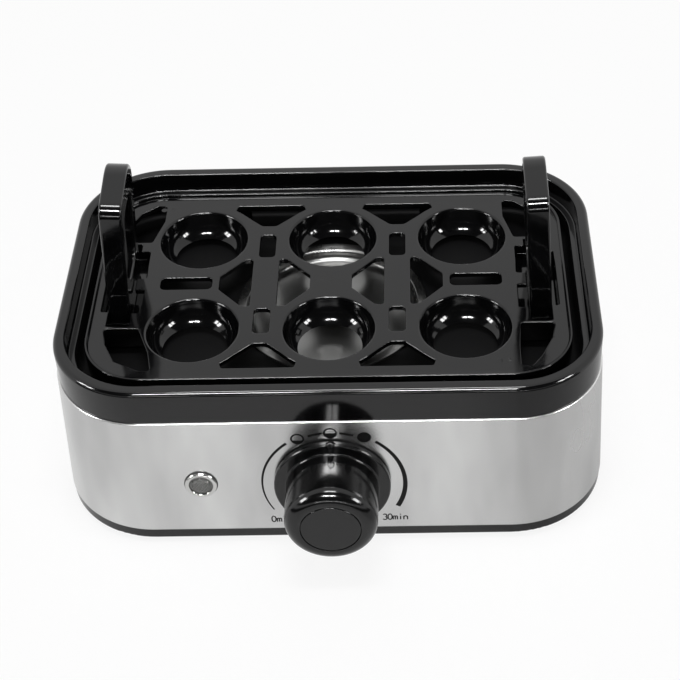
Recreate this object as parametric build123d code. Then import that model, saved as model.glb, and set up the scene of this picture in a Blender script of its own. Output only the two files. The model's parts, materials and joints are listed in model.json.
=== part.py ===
# Electric egg cooker: a black moulded water pan and rim over a flared steel band,
# a base tray on rubber feet, a lift-out egg tray with two handles, a 30 minute
# dial timer with its knob, a pilot lamp, and the heating plate under the tray.
# Millimetres. +X is to the user's right, the dial faces -Y, +Z is up.
# The sizes below are measured about the body's upright centre line; at the end
# every node is moved in Y so that the origin lies under the middle of the whole.
from build123d import *
import os
from math import atan, cos, degrees, hypot, pi, radians, sin

# Heights, from the table up
foot_height = 3.0
base_strip_height = 6.1
band_height = 67.4
rim_height = 18.2
tray_below_rim = 7.2
ledge_below_rim = 10.2
pan_below_tray = 16.0
plate_below_tray = 20.0

# Rim, seen from above
rim_length = 251.6
rim_depth = 165.6
rim_corner = 41.8
rim_top_side = 5.4
rim_top_front = 6.0
ledge_width = 3.5
rim_outer_round = 2.4
rim_inner_round = 0.8
wall = 2.4

# Steel band, which flares towards the table
band_proud = 0.7
band_flare = 3.1
band_sheet = 0.6
band_flange = 2.4
band_round = 0.5
back_panel_reach = 64.0
panel_seam = 0.1

# Locating skirts inside the band
skirt_clearance = 0.4
frame_skirt_depth = 8.0
base_upstand = 6.0
base_floor = 2.2
base_round = 0.8

# Screw posts between the top frame and the base
post_x = 78.0
post_y = 48.0
post_radius = 4.5
post_pilot = 1.3
boss_height = 9.0
boss_radius = 5.5
base_screw_radius = 1.6
base_screw_head = 3.0
base_screw_head_height = 2.4
base_screw_length = 18.0
screw_clearance = 0.2

# Rubber feet
foot_x = 104.0
foot_y = 60.0
foot_radius = 8.0
foot_stem = 3.0
foot_stem_head = 1.2
fit_gap = 0.03

# Base vents
vent_count = 9
vent_pitch = 7.0
vent_length = 34.0
vent_width = 2.6

# Egg tray
tray_end_gap = 4.5
tray_side_gap = 5.3
tray_corner_gap = 4.4
tray_plate = 2.4
lip_width = 1.5
lip_height = 2.0
tray_skirt = 9.0
column_pitch = 63.5
row_pitch = 65.9
cup_radius = 21.2
cup_foot_radius = 15.2
cup_depth = 12.0
cup_wall = 1.8
cup_edge_round = 1.2
web_x = column_pitch / 2
web_width = 12.6
web_slot_width = 7.8
web_slot_length = 16.8
web_slot_y = 27.3
long_slot_length = 24.8
long_slot_width = 8.4
long_slot_x = 69.3
leg_width = 14.0

# End pockets of the egg tray and the handles that stand in them
pocket_reach = 23.4
pocket_outer_wall = 4.7
pocket_step_wall = 8.4
pocket_step_y = 19.6
pocket_rib_y = 30.7
pocket_rib = 1.6
pocket_end_wall = 8.0
pocket_floor_below = 9.6
tab_reach = 4.5
tab_width = 8.6
handle_from_end = 17.8
handle_thickness = 10.4
handle_length = 38.6
handle_rise = 63.5
handle_round = 12.5
handle_lean = 0.06
handle_edge_round = 1.2
grip_gap_length = 22.0
grip_gap_low = 9.0
grip_gap_top = 50.0
grip_gap_round = 6.0
handle_screw_y = 13.0
handle_screw_radius = 1.5
handle_screw_head = 2.8
handle_screw_head_height = 1.8
handle_screw_length = 12.0

# Heating plate and what clamps it
plate_sheet = 0.8
plate_floor_radius = 37.5
plate_bend = 3.0
plate_flange_bend = 1.5
plate_flange_width = 8.5
seal_recess = 0.4
seal_thickness = 1.0
pan_collar_wall = 3.6
pan_collar_depth = 4.4
clamp_sheet = 1.2
clamp_width = 19.6
clamp_past_flange = 3.0
stud_radius = 2.0
stud_from_bend = 3.5
stud_length = 9.6
nut_across = 7.0
nut_height = 3.2
spreader_inset = 6.5
spreader_thickness = 1.5

# Tubular heating element
element_inset = 13.5
element_tube = 3.3
element_flat = 0.4
element_gap_angle = 100.0
bead_length = 3.0
bead_radius = 2.6
terminal_radius = 1.2
terminal_length = 6.0

# Thermostat, its strap and the earth tag
thermostat_radius = 8.8
thermostat_height = 8.0
strap_width = 9.0
strap_sheet = 1.0
strap_eye = 11.0
strap_hole = 7.2
strap_leg_gap = 1.7
blade_width = 6.3
blade_sheet = 0.8
blade_length = 7.0
blade_offset = 4.2
tag_sheet = 0.8
tag_length = 13.0

# Dial: place on the front of the band, and the timer behind it
dial_x = 1.0
dial_z = 39.0
timer_side = 45.0
timer_depth = 25.0
timer_sheet = 1.0
shaft_radius = 3.0
shaft_front = 17.0
shaft_flat = 2.2
timer_screw_offset = 16.5
timer_screw_radius = 1.5
timer_screw_head = 2.6
timer_screw_head_height = 1.6
wheel_module = 0.8
wheel_teeth = 32
pinion_teeth = 8
tooth_root_share = 0.30
tooth_tip_share = 0.11
tooth_addendum = 0.75
tooth_dedendum = 1.0
wheel_thickness = 1.6
wheel_behind = 7.0
barrel_radius = 11.5
barrel_height = 7.0
arbor_radius = 1.2
bell_radius = 17.0
bell_depth = 7.0
bell_sheet = 0.9
bell_gap = 2.0
bell_post = 2.0

# Knob
knob_gap = 0.8
knob_skirt_radius = 26.8
knob_skirt_height = 3.0
knob_skirt_round = 1.0
knob_grip_radius = 21.2
knob_projection = 30.0
knob_face_round = 6.0
knob_hub_radius = 5.6
knob_rear_radius = 19.4
cap_radius = 13.6
cap_groove = 0.35
cap_thickness = 1.6
cap_peg_radius = 1.6
cap_peg_length = 2.6
clip_sheet = 0.4
clip_width = 2.4
clip_length = 9.0

# Pilot lamp
lamp_x = -59.6
lamp_z = 39.0
bezel_radius = 7.4
bezel_height = 1.6
bezel_barrel = 5.7
bezel_barrel_length = 12.0
lens_radius = 5.4
lens_rise = 0.5
lens_depth = 5.0
lamp_nut_across = 15.0
lamp_nut_height = 3.0
bulb_radius = 2.5
bulb_length = 11.0
holder_length = 9.0
holder_bore = 2.6

# Cord inlet at the back and the terminal block behind it
inlet_x = -40.0
inlet_z = 26.0
gland_bore = 3.6
gland_barrel = 6.4
gland_flange = 9.0
gland_flange_height = 2.4
gland_length = 12.0
gland_nut_across = 17.0
gland_nut_height = 3.0
block_length = 42.0
block_ways = 5
block_width = 18.0
block_height = 13.0
block_y = 52.0
block_screw_radius = 1.8
block_screw_depth = 3.0
block_pitch = 8.0
block_bore = 1.6
clamp_bar_y = 70.0
clamp_bar_length = 24.0
clamp_bar_width = 8.0
clamp_bar_height = 3.0
clamp_bar_z = 20.6
clamp_post_spread = 8.0
clamp_post_radius = 2.6

lead_radius = 1.1

# Heights that follow
base_bottom = foot_height
band_bottom = base_bottom + base_strip_height
band_top = band_bottom + band_height
rim_top = band_top + rim_height
tray_top = rim_top - tray_below_rim
ledge_top = rim_top - ledge_below_rim
pan_top = tray_top - pan_below_tray
pan_bottom = pan_top - wall
plate_top = tray_top - plate_below_tray
plate_bottom = plate_top - plate_sheet
floor_top = base_bottom + base_floor
boss_top = base_bottom + boss_height

# Half sizes that follow
rim_x = rim_length / 2
rim_y = rim_depth / 2
band_top_x = rim_x + band_proud
band_top_y = rim_y + band_proud
band_low_x = band_top_x + band_flare
band_low_y = band_top_y + band_flare
band_corner = rim_corner + band_proud
flare_slope = band_flare / band_height
flare_angle = degrees(atan(flare_slope))
step_x = rim_x - rim_top_side
step_y = rim_y - rim_top_front
step_corner = rim_corner - rim_top_side
well_x = step_x - ledge_width
well_y = step_y - ledge_width
well_corner = step_corner - ledge_width
tray_x = well_x - tray_end_gap
tray_y = well_y - tray_side_gap
tray_corner = well_corner - tray_corner_gap
pocket_inner = tray_x - pocket_reach
pocket_outer = tray_x - pocket_outer_wall
pocket_step = tray_x - pocket_step_wall
pocket_end = tray_y - pocket_end_wall
handle_inner = tray_x - handle_from_end
row_y = row_pitch / 2
plate_flange_radius = plate_floor_radius + plate_flange_width
spreader_radius = plate_floor_radius - spreader_inset
element_circle = plate_floor_radius - element_inset
clamp_outer = plate_flange_radius + clamp_past_flange
clamp_inner = clamp_outer - clamp_width
stud_circle = plate_floor_radius - stud_from_bend
strap_leg_radius = element_circle + element_tube + strap_leg_gap


def slab(half_x, half_y, corner, low, high):
    """A rounded rectangle raised from one height to another."""
    return Pos(0, 0, low) * extrude(RectangleRounded(2 * half_x, 2 * half_y, corner), high - low)


def flared(inset, low, high):
    """The solid inside the band's outer face, drawn in by inset, between two heights."""
    faces = []
    for level in (low, high):
        grow = (band_top - level) * flare_slope - inset
        shape = RectangleRounded(
            2 * (band_top_x + grow), 2 * (band_top_y + grow), band_corner + grow
        )
        faces.append(Pos(0, 0, level) * shape.face())
    return loft(faces, ruled=True)


def rod(radius, low, high, x=0.0, y=0.0):
    """An upright cylinder between two heights."""
    return Pos(x, y, low) * extrude(Circle(radius), high - low)


def tube(outer, inner, low, high, x=0.0, y=0.0):
    """An upright ring between two heights."""
    return Pos(x, y, low) * extrude(Circle(outer) - Circle(inner), high - low)


def hexagon(across, bore, low, high, x=0.0, y=0.0):
    """A nut across its flats with a bore."""
    corners = RegularPolygon(across / 2, 6, major_radius=False)
    return Pos(x, y, low) * extrude(corners - Circle(bore), high - low)


def block(x0, x1, y0, y1, z0, z1):
    """A box between two opposite corners."""
    return Pos((x0 + x1) / 2, (y0 + y1) / 2, (z0 + z1) / 2) * Box(x1 - x0, y1 - y0, z1 - z0)


def pan_screw(radius, head, head_height, length):
    """A screw along Z: the head lies below zero and the shank runs up from it."""
    shank = rod(radius, 0, length)
    cap = rod(head, -head_height, 0)
    slot = Pos(0, 0, -head_height) * Box(2 * head, 0.7, 1.2)
    return cap + shank - slot


def face_place(x, z, back=False):
    """A frame on the band's outer face: local Z points outwards, local Y runs up the face."""
    out = band_top_y + (band_top - z) * flare_slope
    slant = radians(flare_angle)
    if back:
        plane = Plane(origin=(x, out, z), x_dir=(-1, 0, 0), z_dir=(0, cos(slant), sin(slant)))
    else:
        plane = Plane(origin=(x, -out, z), x_dir=(1, 0, 0), z_dir=(0, -cos(slant), sin(slant)))
    return Location(plane)


dial = face_place(dial_x, dial_z)
lamp = face_place(lamp_x, lamp_z)
inlet = face_place(inlet_x, inlet_z, back=True)
post_places = [(sx * post_x, sy * post_y) for sx in (-1, 1) for sy in (-1, 1)]
foot_places = [(sx * foot_x, sy * foot_y) for sx in (-1, 1) for sy in (-1, 1)]
cup_places = [(i * column_pitch, j * row_y) for j in (-1, 1) for i in (-1, 0, 1)]
stud_places = [
    (stud_circle * cos(radians(a)), stud_circle * sin(radians(a))) for a in (45, 135, 225, 315)
]

nodes = {}


# Top frame: rim, step, ledge, water pan, locating skirt and screw posts
def make_top_frame():
    rim = slab(rim_x, rim_y, rim_corner, band_top, rim_top)
    upper = rim.edges().filter_by_position(Axis.Z, rim_top - 0.01, rim_top + 0.01)
    rim = fillet(upper, rim_outer_round)
    skirt_in = band_flange + band_sheet
    grow = band_proud - skirt_in - skirt_clearance
    skirt = slab(rim_x + grow, rim_y + grow, rim_corner + grow, band_top - frame_skirt_depth, band_top)
    body = rim + skirt
    step = slab(step_x, step_y, step_corner, ledge_top, rim_top + 1)
    body -= step
    inner = body.edges().filter_by_position(Axis.Z, rim_top - 0.01, rim_top + 0.01)
    inner = inner.filter_by(lambda e: abs(e.center().Y) < step_y + 0.5 and abs(e.center().X) < step_x + 0.5)
    body = fillet(inner, rim_inner_round)
    well = slab(well_x, well_y, well_corner, pan_top, rim_top)
    well = fillet(well.edges().filter_by_position(Axis.Z, pan_top - 0.01, pan_top + 0.01), 3.0)
    outside = slab(well_x + wall, well_y + wall, well_corner + wall, pan_bottom, ledge_top)
    skirt_inner = grow - wall
    hollow = slab(
        rim_x + skirt_inner, rim_y + skirt_inner, rim_corner + skirt_inner, band_top - 20, ledge_top - wall
    )
    body = (body - hollow) + outside - well
    collar_in = plate_floor_radius + plate_bend + plate_sheet + 0.7
    body += tube(collar_in + pan_collar_wall + 0.6, collar_in, pan_bottom - pan_collar_depth, pan_bottom)
    body -= rod(collar_in, pan_bottom - 1, pan_top + 1)
    body -= rod(plate_flange_radius + 0.4, pan_top - seal_recess, pan_top + 1)
    for x, y in post_places:
        body += rod(post_radius, boss_top, pan_bottom, x, y)
        for turn in (0, 90):
            body += Pos(x, y, 0) * Rot(0, 0, turn) * block(-7.0, 7.0, -0.8, 0.8, pan_bottom - 16, pan_bottom)
        body -= rod(post_pilot, boss_top - 1, boss_top + 22, x, y)
    return body


# Steel band: a flared sheet with a flange turned in under the rim, closed by a panel at the back
def make_band():
    outer = flared(0, band_bottom, band_top)
    edge = outer.edges().filter_by_position(Axis.Z, band_top - 0.01, band_top + 0.01)
    outer = fillet(edge, band_round)
    inner = flared(band_sheet, band_bottom - 1, band_top - band_sheet)
    grow = -band_flange
    mouth = slab(
        band_top_x + grow, band_top_y + grow, band_corner + grow, band_top - 2, band_top + 1
    )
    sheet = outer - inner - mouth
    drill = Pos(0, 0, -5) * extrude(Circle(shaft_radius + 1.2), 10)
    for side in (-1, 1):
        drill += Pos(side * timer_screw_offset, 0, -5) * extrude(
            Circle(timer_screw_radius + screw_clearance), 10
        )
    sheet -= dial * drill
    sheet -= lamp * (Pos(0, 0, -5) * extrude(Circle(bezel_barrel + 0.1), 10))
    sheet -= inlet * (Pos(0, 0, -5) * extrude(Circle(gland_barrel + 0.1), 10))
    seam = back_panel_reach + panel_seam
    wrap = sheet - block(-seam, seam, 0, band_low_y + 1, 0, band_top + 1)
    panel = sheet & block(-back_panel_reach, back_panel_reach, 0, band_low_y + 1, 0, band_top + 1)
    return wrap, panel


# Base tray: floor, strip under the band, upstand inside it, bosses and vents
def make_base():
    low_x = band_low_x - 0.3
    low_y = band_low_y - 0.3
    corner = band_corner + band_flare - 0.3
    strip = slab(low_x, low_y, corner, base_bottom, band_bottom)
    under = strip.edges().filter_by_position(Axis.Z, base_bottom - 0.01, base_bottom + 0.01)
    strip = fillet(under, base_round)
    grow = (band_height - base_upstand) * flare_slope - band_sheet - skirt_clearance
    upstand = slab(
        band_top_x + grow, band_top_y + grow, band_corner + grow, band_bottom, band_bottom + base_upstand
    )
    inside = slab(
        band_top_x + grow - wall, band_top_y + grow - wall, band_corner + grow - wall,
        floor_top, band_bottom + base_upstand + 1
    )
    body = strip + upstand - inside
    for x, y in post_places:
        body += rod(boss_radius, base_bottom, boss_top, x, y)
        body -= rod(base_screw_radius + screw_clearance, base_bottom - 1, boss_top + 1, x, y)
        body -= rod(base_screw_head + 0.4, base_bottom - 1, floor_top + 1.6, x, y)
    for x, y in foot_places:
        body += rod(foot_stem + 2.0, floor_top, floor_top + 1.2, x, y)
        body -= rod(foot_stem + fit_gap, base_bottom - 1, floor_top + 4, x, y)
    for i in range(vent_count):
        x = (i - (vent_count - 1) / 2) * vent_pitch
        body -= Pos(x, 0, base_bottom - 1) * extrude(SlotOverall(vent_length, vent_width, rotation=90), 5)
    for side in (-1, 1):
        x = inlet_x + side * clamp_post_spread
        body += rod(clamp_post_radius, floor_top, clamp_bar_z, x, clamp_bar_y)
        body -= rod(post_pilot, clamp_bar_z - 10, clamp_bar_z + 1, x, clamp_bar_y)
        x = inlet_x + side * (block_length / 2 - 3.0)
        body += block(x - 2.4, x + 2.4, block_y - 4, block_y + 4, floor_top, floor_top + 2.0)
    return body


def make_feet():
    feet = []
    for x, y in foot_places:
        pad = rod(foot_radius, 0, foot_height, x, y)
        pad = fillet(pad.edges().filter_by_position(Axis.Z, -0.01, 0.01), 0.8)
        stem = rod(foot_stem, foot_height, floor_top + 1.2, x, y)
        head = rod(foot_stem + foot_stem_head, floor_top + 1.2, floor_top + 3.0, x, y)
        feet.append(pad + stem + head)
    return feet


def make_base_screws():
    seat = floor_top + 1.6
    screw = pan_screw(base_screw_radius - 0.3, base_screw_head, base_screw_head_height, base_screw_length)
    return [Pos(x, y, seat) * screw for x, y in post_places]


# Egg tray
def outline(points, radius):
    """A closed flat face through the points, every corner rounded by the radius."""
    shape = make_face(Polyline(*points, close=True))
    return fillet(shape.vertices(), radius)


def cut_through(shape):
    """A flat shape cut right through the tray's plate and skirt height."""
    return Pos(0, 0, tray_top - tray_skirt - 20) * extrude(shape, tray_skirt + 30)


def cup_profile(grow, low, top_flare):
    """Half of a cup's section, pushed out by grow: an S from the rounded mouth to the foot."""
    top = (cup_radius + grow + top_flare, 0)
    neck = (cup_radius + grow, -cup_edge_round)
    foot = (cup_foot_radius + grow, -low)
    mid = ((neck[0] + foot[0]) / 2 + 0.5, (neck[1] + foot[1]) / 2)
    return top, neck, mid, foot


def cup_solid(grow, low, top_flare, lift):
    """A full turn of the cup's section, open at the top by lift."""
    top, neck, mid, foot = cup_profile(grow, low, top_flare)
    with BuildPart() as solid:
        with BuildSketch(Plane.XZ):
            with BuildLine():
                Polyline((0, -low), foot)
                ThreePointArc(foot, mid, neck)
                Line(neck, top)
                if lift > 0:
                    Polyline(top, (top[0], lift), (0, lift), (0, -low))
                else:
                    Polyline(top, (0, 0), (0, -low))
            make_face()
        revolve(axis=Axis.Z)
    return solid.part


def mouth_round():
    """The rounded edge of a cup's mouth: a ring of the corner that is taken away."""
    with BuildPart() as ring:
        with BuildSketch(Plane.XZ):
            with BuildLine():
                edge = (cup_radius, -cup_edge_round)
                flat = (cup_radius + cup_edge_round, 0)
                bend = cup_edge_round * (1 - cos(radians(45)))
                ThreePointArc(edge, (cup_radius + bend, -bend), flat)
                Polyline(flat, (cup_radius + cup_edge_round, 1), (cup_radius - 1, 1),
                         (cup_radius - 1, -cup_edge_round), edge)
            make_face()
        revolve(axis=Axis.Z)
    return ring.part


def corner_pocket(inner, sx, sy):
    """An end pocket beyond the cross rib, in the corner towards (sx, sy)."""
    start = pocket_rib_y + pocket_rib / 2
    arc = tray_corner - 9.0
    bend_x = tray_x - tray_corner
    bend_y = tray_y - tray_corner
    lean = 45 if sy < 0 else 50
    points = [
        (pocket_inner, start),
        (pocket_step + 1.0, start),
        (pocket_step - 1.0, bend_y + 2),
        (bend_x + arc * cos(radians(lean)), bend_y + arc * sin(radians(lean))),
        (max(bend_x, inner + 5.0), pocket_end),
        (inner, pocket_end),
        (inner, row_y + 15.0),
    ]
    return outline([(sx * x, sy * y) for x, y in points], 1.5)


def make_tray():
    body = slab(tray_x, tray_y, tray_corner, tray_top - tray_skirt, tray_top + lip_height)
    top_in = slab(
        tray_x - lip_width, tray_y - lip_width, tray_corner - lip_width, tray_top, tray_top + lip_height + 1
    )
    below = slab(
        tray_x - lip_width, tray_y - lip_width, tray_corner - lip_width,
        tray_top - tray_skirt - 1, tray_top - tray_plate
    )
    body -= top_in
    body -= below
    lip = body.edges().filter_by_position(Axis.Z, tray_top + lip_height - 0.01, tray_top + lip_height + 0.01)
    body = fillet(lip, 0.6)

    # End pockets: the middle one holds the handle, the two beyond the ribs are open
    past = {(-1, -1): 8.5, (1, -1): 1.0, (-1, 1): 4.5, (1, 1): 4.5}
    inner_of = {place: pocket_inner - reach for place, reach in past.items()}
    for sx in (-1, 1):
        half = pocket_rib_y - pocket_rib / 2
        middle = block(
            min(sx * pocket_inner, sx * pocket_step), max(sx * pocket_inner, sx * pocket_step),
            -half, half, tray_top - pocket_floor_below, tray_top + 5
        )
        middle += block(
            min(sx * pocket_inner, sx * pocket_outer), max(sx * pocket_inner, sx * pocket_outer),
            -pocket_step_y, pocket_step_y, tray_top - pocket_floor_below, tray_top + 5
        )
        box_in = sx * (pocket_inner - wall)
        box_out = sx * (tray_x - lip_width / 2)
        housing = block(
            min(box_in, box_out), max(box_in, box_out),
            -pocket_rib_y - pocket_rib / 2, pocket_rib_y + pocket_rib / 2,
            tray_top - pocket_floor_below - wall, tray_top - tray_plate
        )
        body += housing
        body -= middle
        for y in (-25.0, 0.0, 28.5):
            x0 = sx * (pocket_inner - 0.5)
            x1 = sx * (pocket_inner + tab_reach)
            body += block(
                min(x0, x1), max(x0, x1), y - tab_width / 2, y + tab_width / 2,
                tray_top - tray_plate, tray_top
            )
        for sy in (-1, 1):
            body -= cut_through(corner_pocket(inner_of[(sx, sy)], sx, sy))
            drain = sx * (pocket_inner + 4.0)
            body -= rod(1.5, tray_top - 20, tray_top, drain, sy * 24.0)
            x = sx * (handle_inner + handle_thickness / 2)
            y = sy * handle_screw_y
            body -= rod(handle_screw_radius + screw_clearance, tray_top - 20, tray_top, x, y)

    # Openings between the cups
    left = web_width / 2
    for sx in (-1, 1):
        for sy in (-1, 1):
            triangle = [(-17.4, 55.5), (-15.4, 59.0), (15.4, 59.0), (17.4, 55.5), (4.8, 43.2), (-4.8, 43.2)]
            body -= cut_through(outline([(sx * web_x + x, sy * y) for x, y in triangle], 1.6))
            body -= Pos(sx * web_x, sy * web_slot_y, tray_top - 10) * extrude(
                RectangleRounded(web_slot_width, web_slot_length, 2.0), 20
            )
            kite = [(left, -17.4), (left + 4.4, -16.4), (left + 15.4, -4.6), (left + 15.4, 4.6),
                    (left + 4.4, 16.4), (left, 17.4)]
            body -= cut_through(outline([(sx * web_x + sy * x, y) for x, y in kite], 1.6))
        body -= Pos(sx * long_slot_x, 0, tray_top - 10) * extrude(
            RectangleRounded(long_slot_length, long_slot_width, 2.6), 20
        )

    # Cups
    for x, y in cup_places:
        place = Pos(x, y, tray_top)
        body += place * cup_solid(cup_wall, cup_depth, 0, 0)
        body -= place * cup_solid(0, cup_depth + 0.001, 0, 0)
        body -= place * rod(cup_radius - 0.02, -cup_edge_round, 5)
        body -= place * mouth_round()

    # Legs: parts of the skirt that reach down to the pan
    for sx in (-1, 1):
        for sy in (-1, 1):
            x = sx * 50.0
            y0 = sy * (tray_y - 1.8)
            y1 = sy * tray_y
            body += block(
                x - leg_width / 2, x + leg_width / 2, min(y0, y1), max(y0, y1), pan_top, tray_top - tray_plate
            )
            x0 = sx * (tray_x - 1.8)
            x1 = sx * tray_x
            y = sy * 36.0
            body += block(
                min(x0, x1), max(x0, x1), y - 3.0, y + 3.0, pan_top, tray_top - tray_plate
            )
    return body


def make_handle(side):
    low = tray_top - pocket_floor_below
    lean = atan(handle_lean)
    height = (tray_top + handle_rise - low) / cos(lean)
    spare = 2.0
    shape = Pos(0, (height - spare) / 2) * Rectangle(handle_length, height + spare)
    top = shape.vertices().sort_by(Axis.Y)[-2:]
    shape = fillet(top, handle_round)
    gap = RectangleRounded(grip_gap_length, grip_gap_top - grip_gap_low, grip_gap_round)
    shape -= Pos(0, pocket_floor_below + (grip_gap_low + grip_gap_top) / 2) * gap

    # The plate leans inwards, and its spare foot is cut level with the pocket's floor
    plane = Plane(
        origin=(side * handle_inner, 0, low), x_dir=(0, 1, 0), z_dir=(cos(lean), 0, side * sin(lean))
    )
    body = extrude(plane * shape, side * handle_thickness)
    rounded = body.edges().filter_by(lambda e: e.center().Z > low)
    rounded = rounded.filter_by(lambda e: not (e.geom_type == GeomType.LINE and abs(e.tangent_at(0).X) > 0.9))
    body = fillet(rounded, handle_edge_round)
    body -= block(-tray_x, tray_x, -handle_length, handle_length, low - 10, low)
    x = side * (handle_inner + handle_thickness / 2)
    for sy in (-1, 1):
        body -= rod(handle_screw_radius - 0.3, low - 1, low + 10, x, sy * handle_screw_y)
    return body


def make_handle_screws():
    seat = tray_top - pocket_floor_below - wall
    screw = pan_screw(
        handle_screw_radius - 0.35, handle_screw_head, handle_screw_head_height, handle_screw_length - wall
    )
    x = handle_inner + handle_thickness / 2
    return [Pos(sx * x, sy * handle_screw_y, seat) * screw for sx in (-1, 1) for sy in (-1, 1)]


# Heating plate, seal, clamp and element
def make_plate():
    flange_top = pan_top - seal_recess + seal_thickness + plate_sheet
    wall_in = plate_floor_radius + plate_bend
    bend_z = flange_top - plate_flange_bend
    low_z = plate_top + plate_bend
    diag = sin(radians(45))
    outer_bend = plate_bend + plate_sheet
    inner_bend = plate_flange_bend - plate_sheet
    centre_x = wall_in + plate_flange_bend
    with BuildPart() as plate:
        with BuildSketch(Plane.XZ):
            with BuildLine():
                Line((0, plate_top), (plate_floor_radius, plate_top))
                ThreePointArc(
                    (plate_floor_radius, plate_top),
                    (plate_floor_radius + plate_bend * diag, low_z - plate_bend * diag),
                    (wall_in, low_z),
                )
                Line((wall_in, low_z), (wall_in, bend_z))
                ThreePointArc(
                    (wall_in, bend_z),
                    (centre_x - plate_flange_bend * diag, bend_z + plate_flange_bend * diag),
                    (centre_x, flange_top),
                )
                Polyline(
                    (centre_x, flange_top), (plate_flange_radius, flange_top),
                    (plate_flange_radius, flange_top - plate_sheet), (centre_x, flange_top - plate_sheet),
                )
                ThreePointArc(
                    (centre_x, flange_top - plate_sheet),
                    (centre_x - inner_bend * diag, bend_z + inner_bend * diag),
                    (wall_in + plate_sheet, bend_z),
                )
                Line((wall_in + plate_sheet, bend_z), (wall_in + plate_sheet, low_z))
                ThreePointArc(
                    (wall_in + plate_sheet, low_z),
                    (plate_floor_radius + outer_bend * diag, low_z - outer_bend * diag),
                    (plate_floor_radius, plate_bottom),
                )
                Polyline((plate_floor_radius, plate_bottom), (0, plate_bottom), (0, plate_top))
            make_face()
        revolve(axis=Axis.Z)
    body = plate.part
    for x, y in stud_places:
        body += rod(stud_radius, plate_bottom - stud_length, plate_bottom, x, y)
    return body


seal_low = pan_top - seal_recess
collar_inner = plate_floor_radius + plate_bend + plate_sheet + 0.7
collar_low = pan_bottom - pan_collar_depth
clamp_low = collar_low - clamp_sheet
spreader_low = plate_bottom - spreader_thickness
element_centre = spreader_low - element_tube + element_flat
thermostat_low = spreader_low - thermostat_height


def make_seal():
    return tube(plate_flange_radius - 0.4, collar_inner + 0.2, seal_low, seal_low + seal_thickness)


def make_clamp_ring():
    ring = tube(clamp_outer, clamp_inner, clamp_low, collar_low)
    for x, y in stud_places:
        ring -= rod(stud_radius + 0.15, clamp_low - 1, collar_low + 1, x, y)
    return ring


def nut_top(index):
    """Two opposite studs also hold the strap and a third the earth tag, under their nuts."""
    packing = {0: strap_sheet, 1: 0.0, 2: strap_sheet, 3: tag_sheet}
    return clamp_low - packing[index]


def make_clamp_nuts():
    return [
        hexagon(nut_across, stud_radius + 0.05, nut_top(i) - nut_height, nut_top(i), x, y)
        for i, (x, y) in enumerate(stud_places)
    ]


def make_spreader():
    return rod(spreader_radius, spreader_low, plate_bottom)


def element_end(side):
    """One end of the element: its point and the direction in which the pin leaves it."""
    angle = radians(90 + side * element_gap_angle / 2)
    point = (element_circle * cos(angle), element_circle * sin(angle), element_centre)
    direction = (side * sin(angle), -side * cos(angle), 0)
    return point, direction


def along(side, near, far, radius):
    """A round pin leaving an end of the element, from near to far along its tangent."""
    point, direction = element_end(side)
    start = tuple(p + near * d for p, d in zip(point, direction))
    plane = Plane(origin=start, z_dir=direction)
    return extrude(plane * Circle(radius), far - near)


def make_element():
    sweep_angle = 360 - element_gap_angle
    start_angle = 90 + element_gap_angle / 2
    path = CenterArc((0, 0), element_circle, start_angle, sweep_angle)
    start = path @ 0
    section = Plane(origin=start, z_dir=path % 0) * Circle(element_tube)
    body = sweep(section, path)
    body = Pos(0, 0, element_centre) * body
    return body - block(-40, 40, -40, 40, spreader_low, spreader_low + 5)


def make_element_beads():
    return [along(side, 0, bead_length, bead_radius) for side in (-1, 1)]


def make_element_terminals():
    return [
        along(side, bead_length, bead_length + terminal_length, terminal_radius) for side in (-1, 1)
    ]


def make_thermostat():
    body = rod(thermostat_radius, thermostat_low, spreader_low)
    for side in (-1, 1):
        x = side * blade_offset
        body += block(
            x - blade_sheet / 2, x + blade_sheet / 2, -blade_width / 2, blade_width / 2,
            thermostat_low - blade_length, thermostat_low
        )
    return body


def make_strap():
    low = thermostat_low - strap_sheet
    high = clamp_low
    bar = block(-strap_leg_radius - strap_sheet, strap_leg_radius + strap_sheet,
                -strap_width / 2, strap_width / 2, low, thermostat_low)
    bar += rod(strap_eye, low, thermostat_low)
    bar -= rod(strap_hole, low - 1, thermostat_low + 1)
    for side in (-1, 1):
        x0 = side * strap_leg_radius
        x1 = side * (strap_leg_radius + strap_sheet)
        bar += block(min(x0, x1), max(x0, x1), -strap_width / 2, strap_width / 2, low, high)
        x2 = side * (stud_circle + 5.0)
        bar += block(min(x0, x2), max(x0, x2), -strap_width / 2, strap_width / 2, high - strap_sheet, high)
        bar -= rod(stud_radius + 0.15, high - 2, high + 1, side * stud_circle, 0)
    return Rot(0, 0, 45) * bar


def make_earth_tag():
    x, y = stud_places[3]
    ring = rod(4.0, clamp_low - tag_sheet, clamp_low)
    ring += block(0, tag_length, -3.0, 3.0, clamp_low - tag_sheet, clamp_low)
    ring -= rod(stud_radius + 0.15, clamp_low - 2, clamp_low + 1)
    return Pos(x, y, 0) * Rot(0, 0, -45) * ring


# Timer, in the dial's own frame: local Z outwards, zero on the band's outer face
plate_back = -band_sheet - timer_sheet
case_back = plate_back - timer_depth
wheel_top = plate_back - wheel_behind
pinion_y = wheel_module * (wheel_teeth + pinion_teeth) / 2
timer_blade_y = -8.0
timer_blade_z = case_back + 8.0


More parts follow.
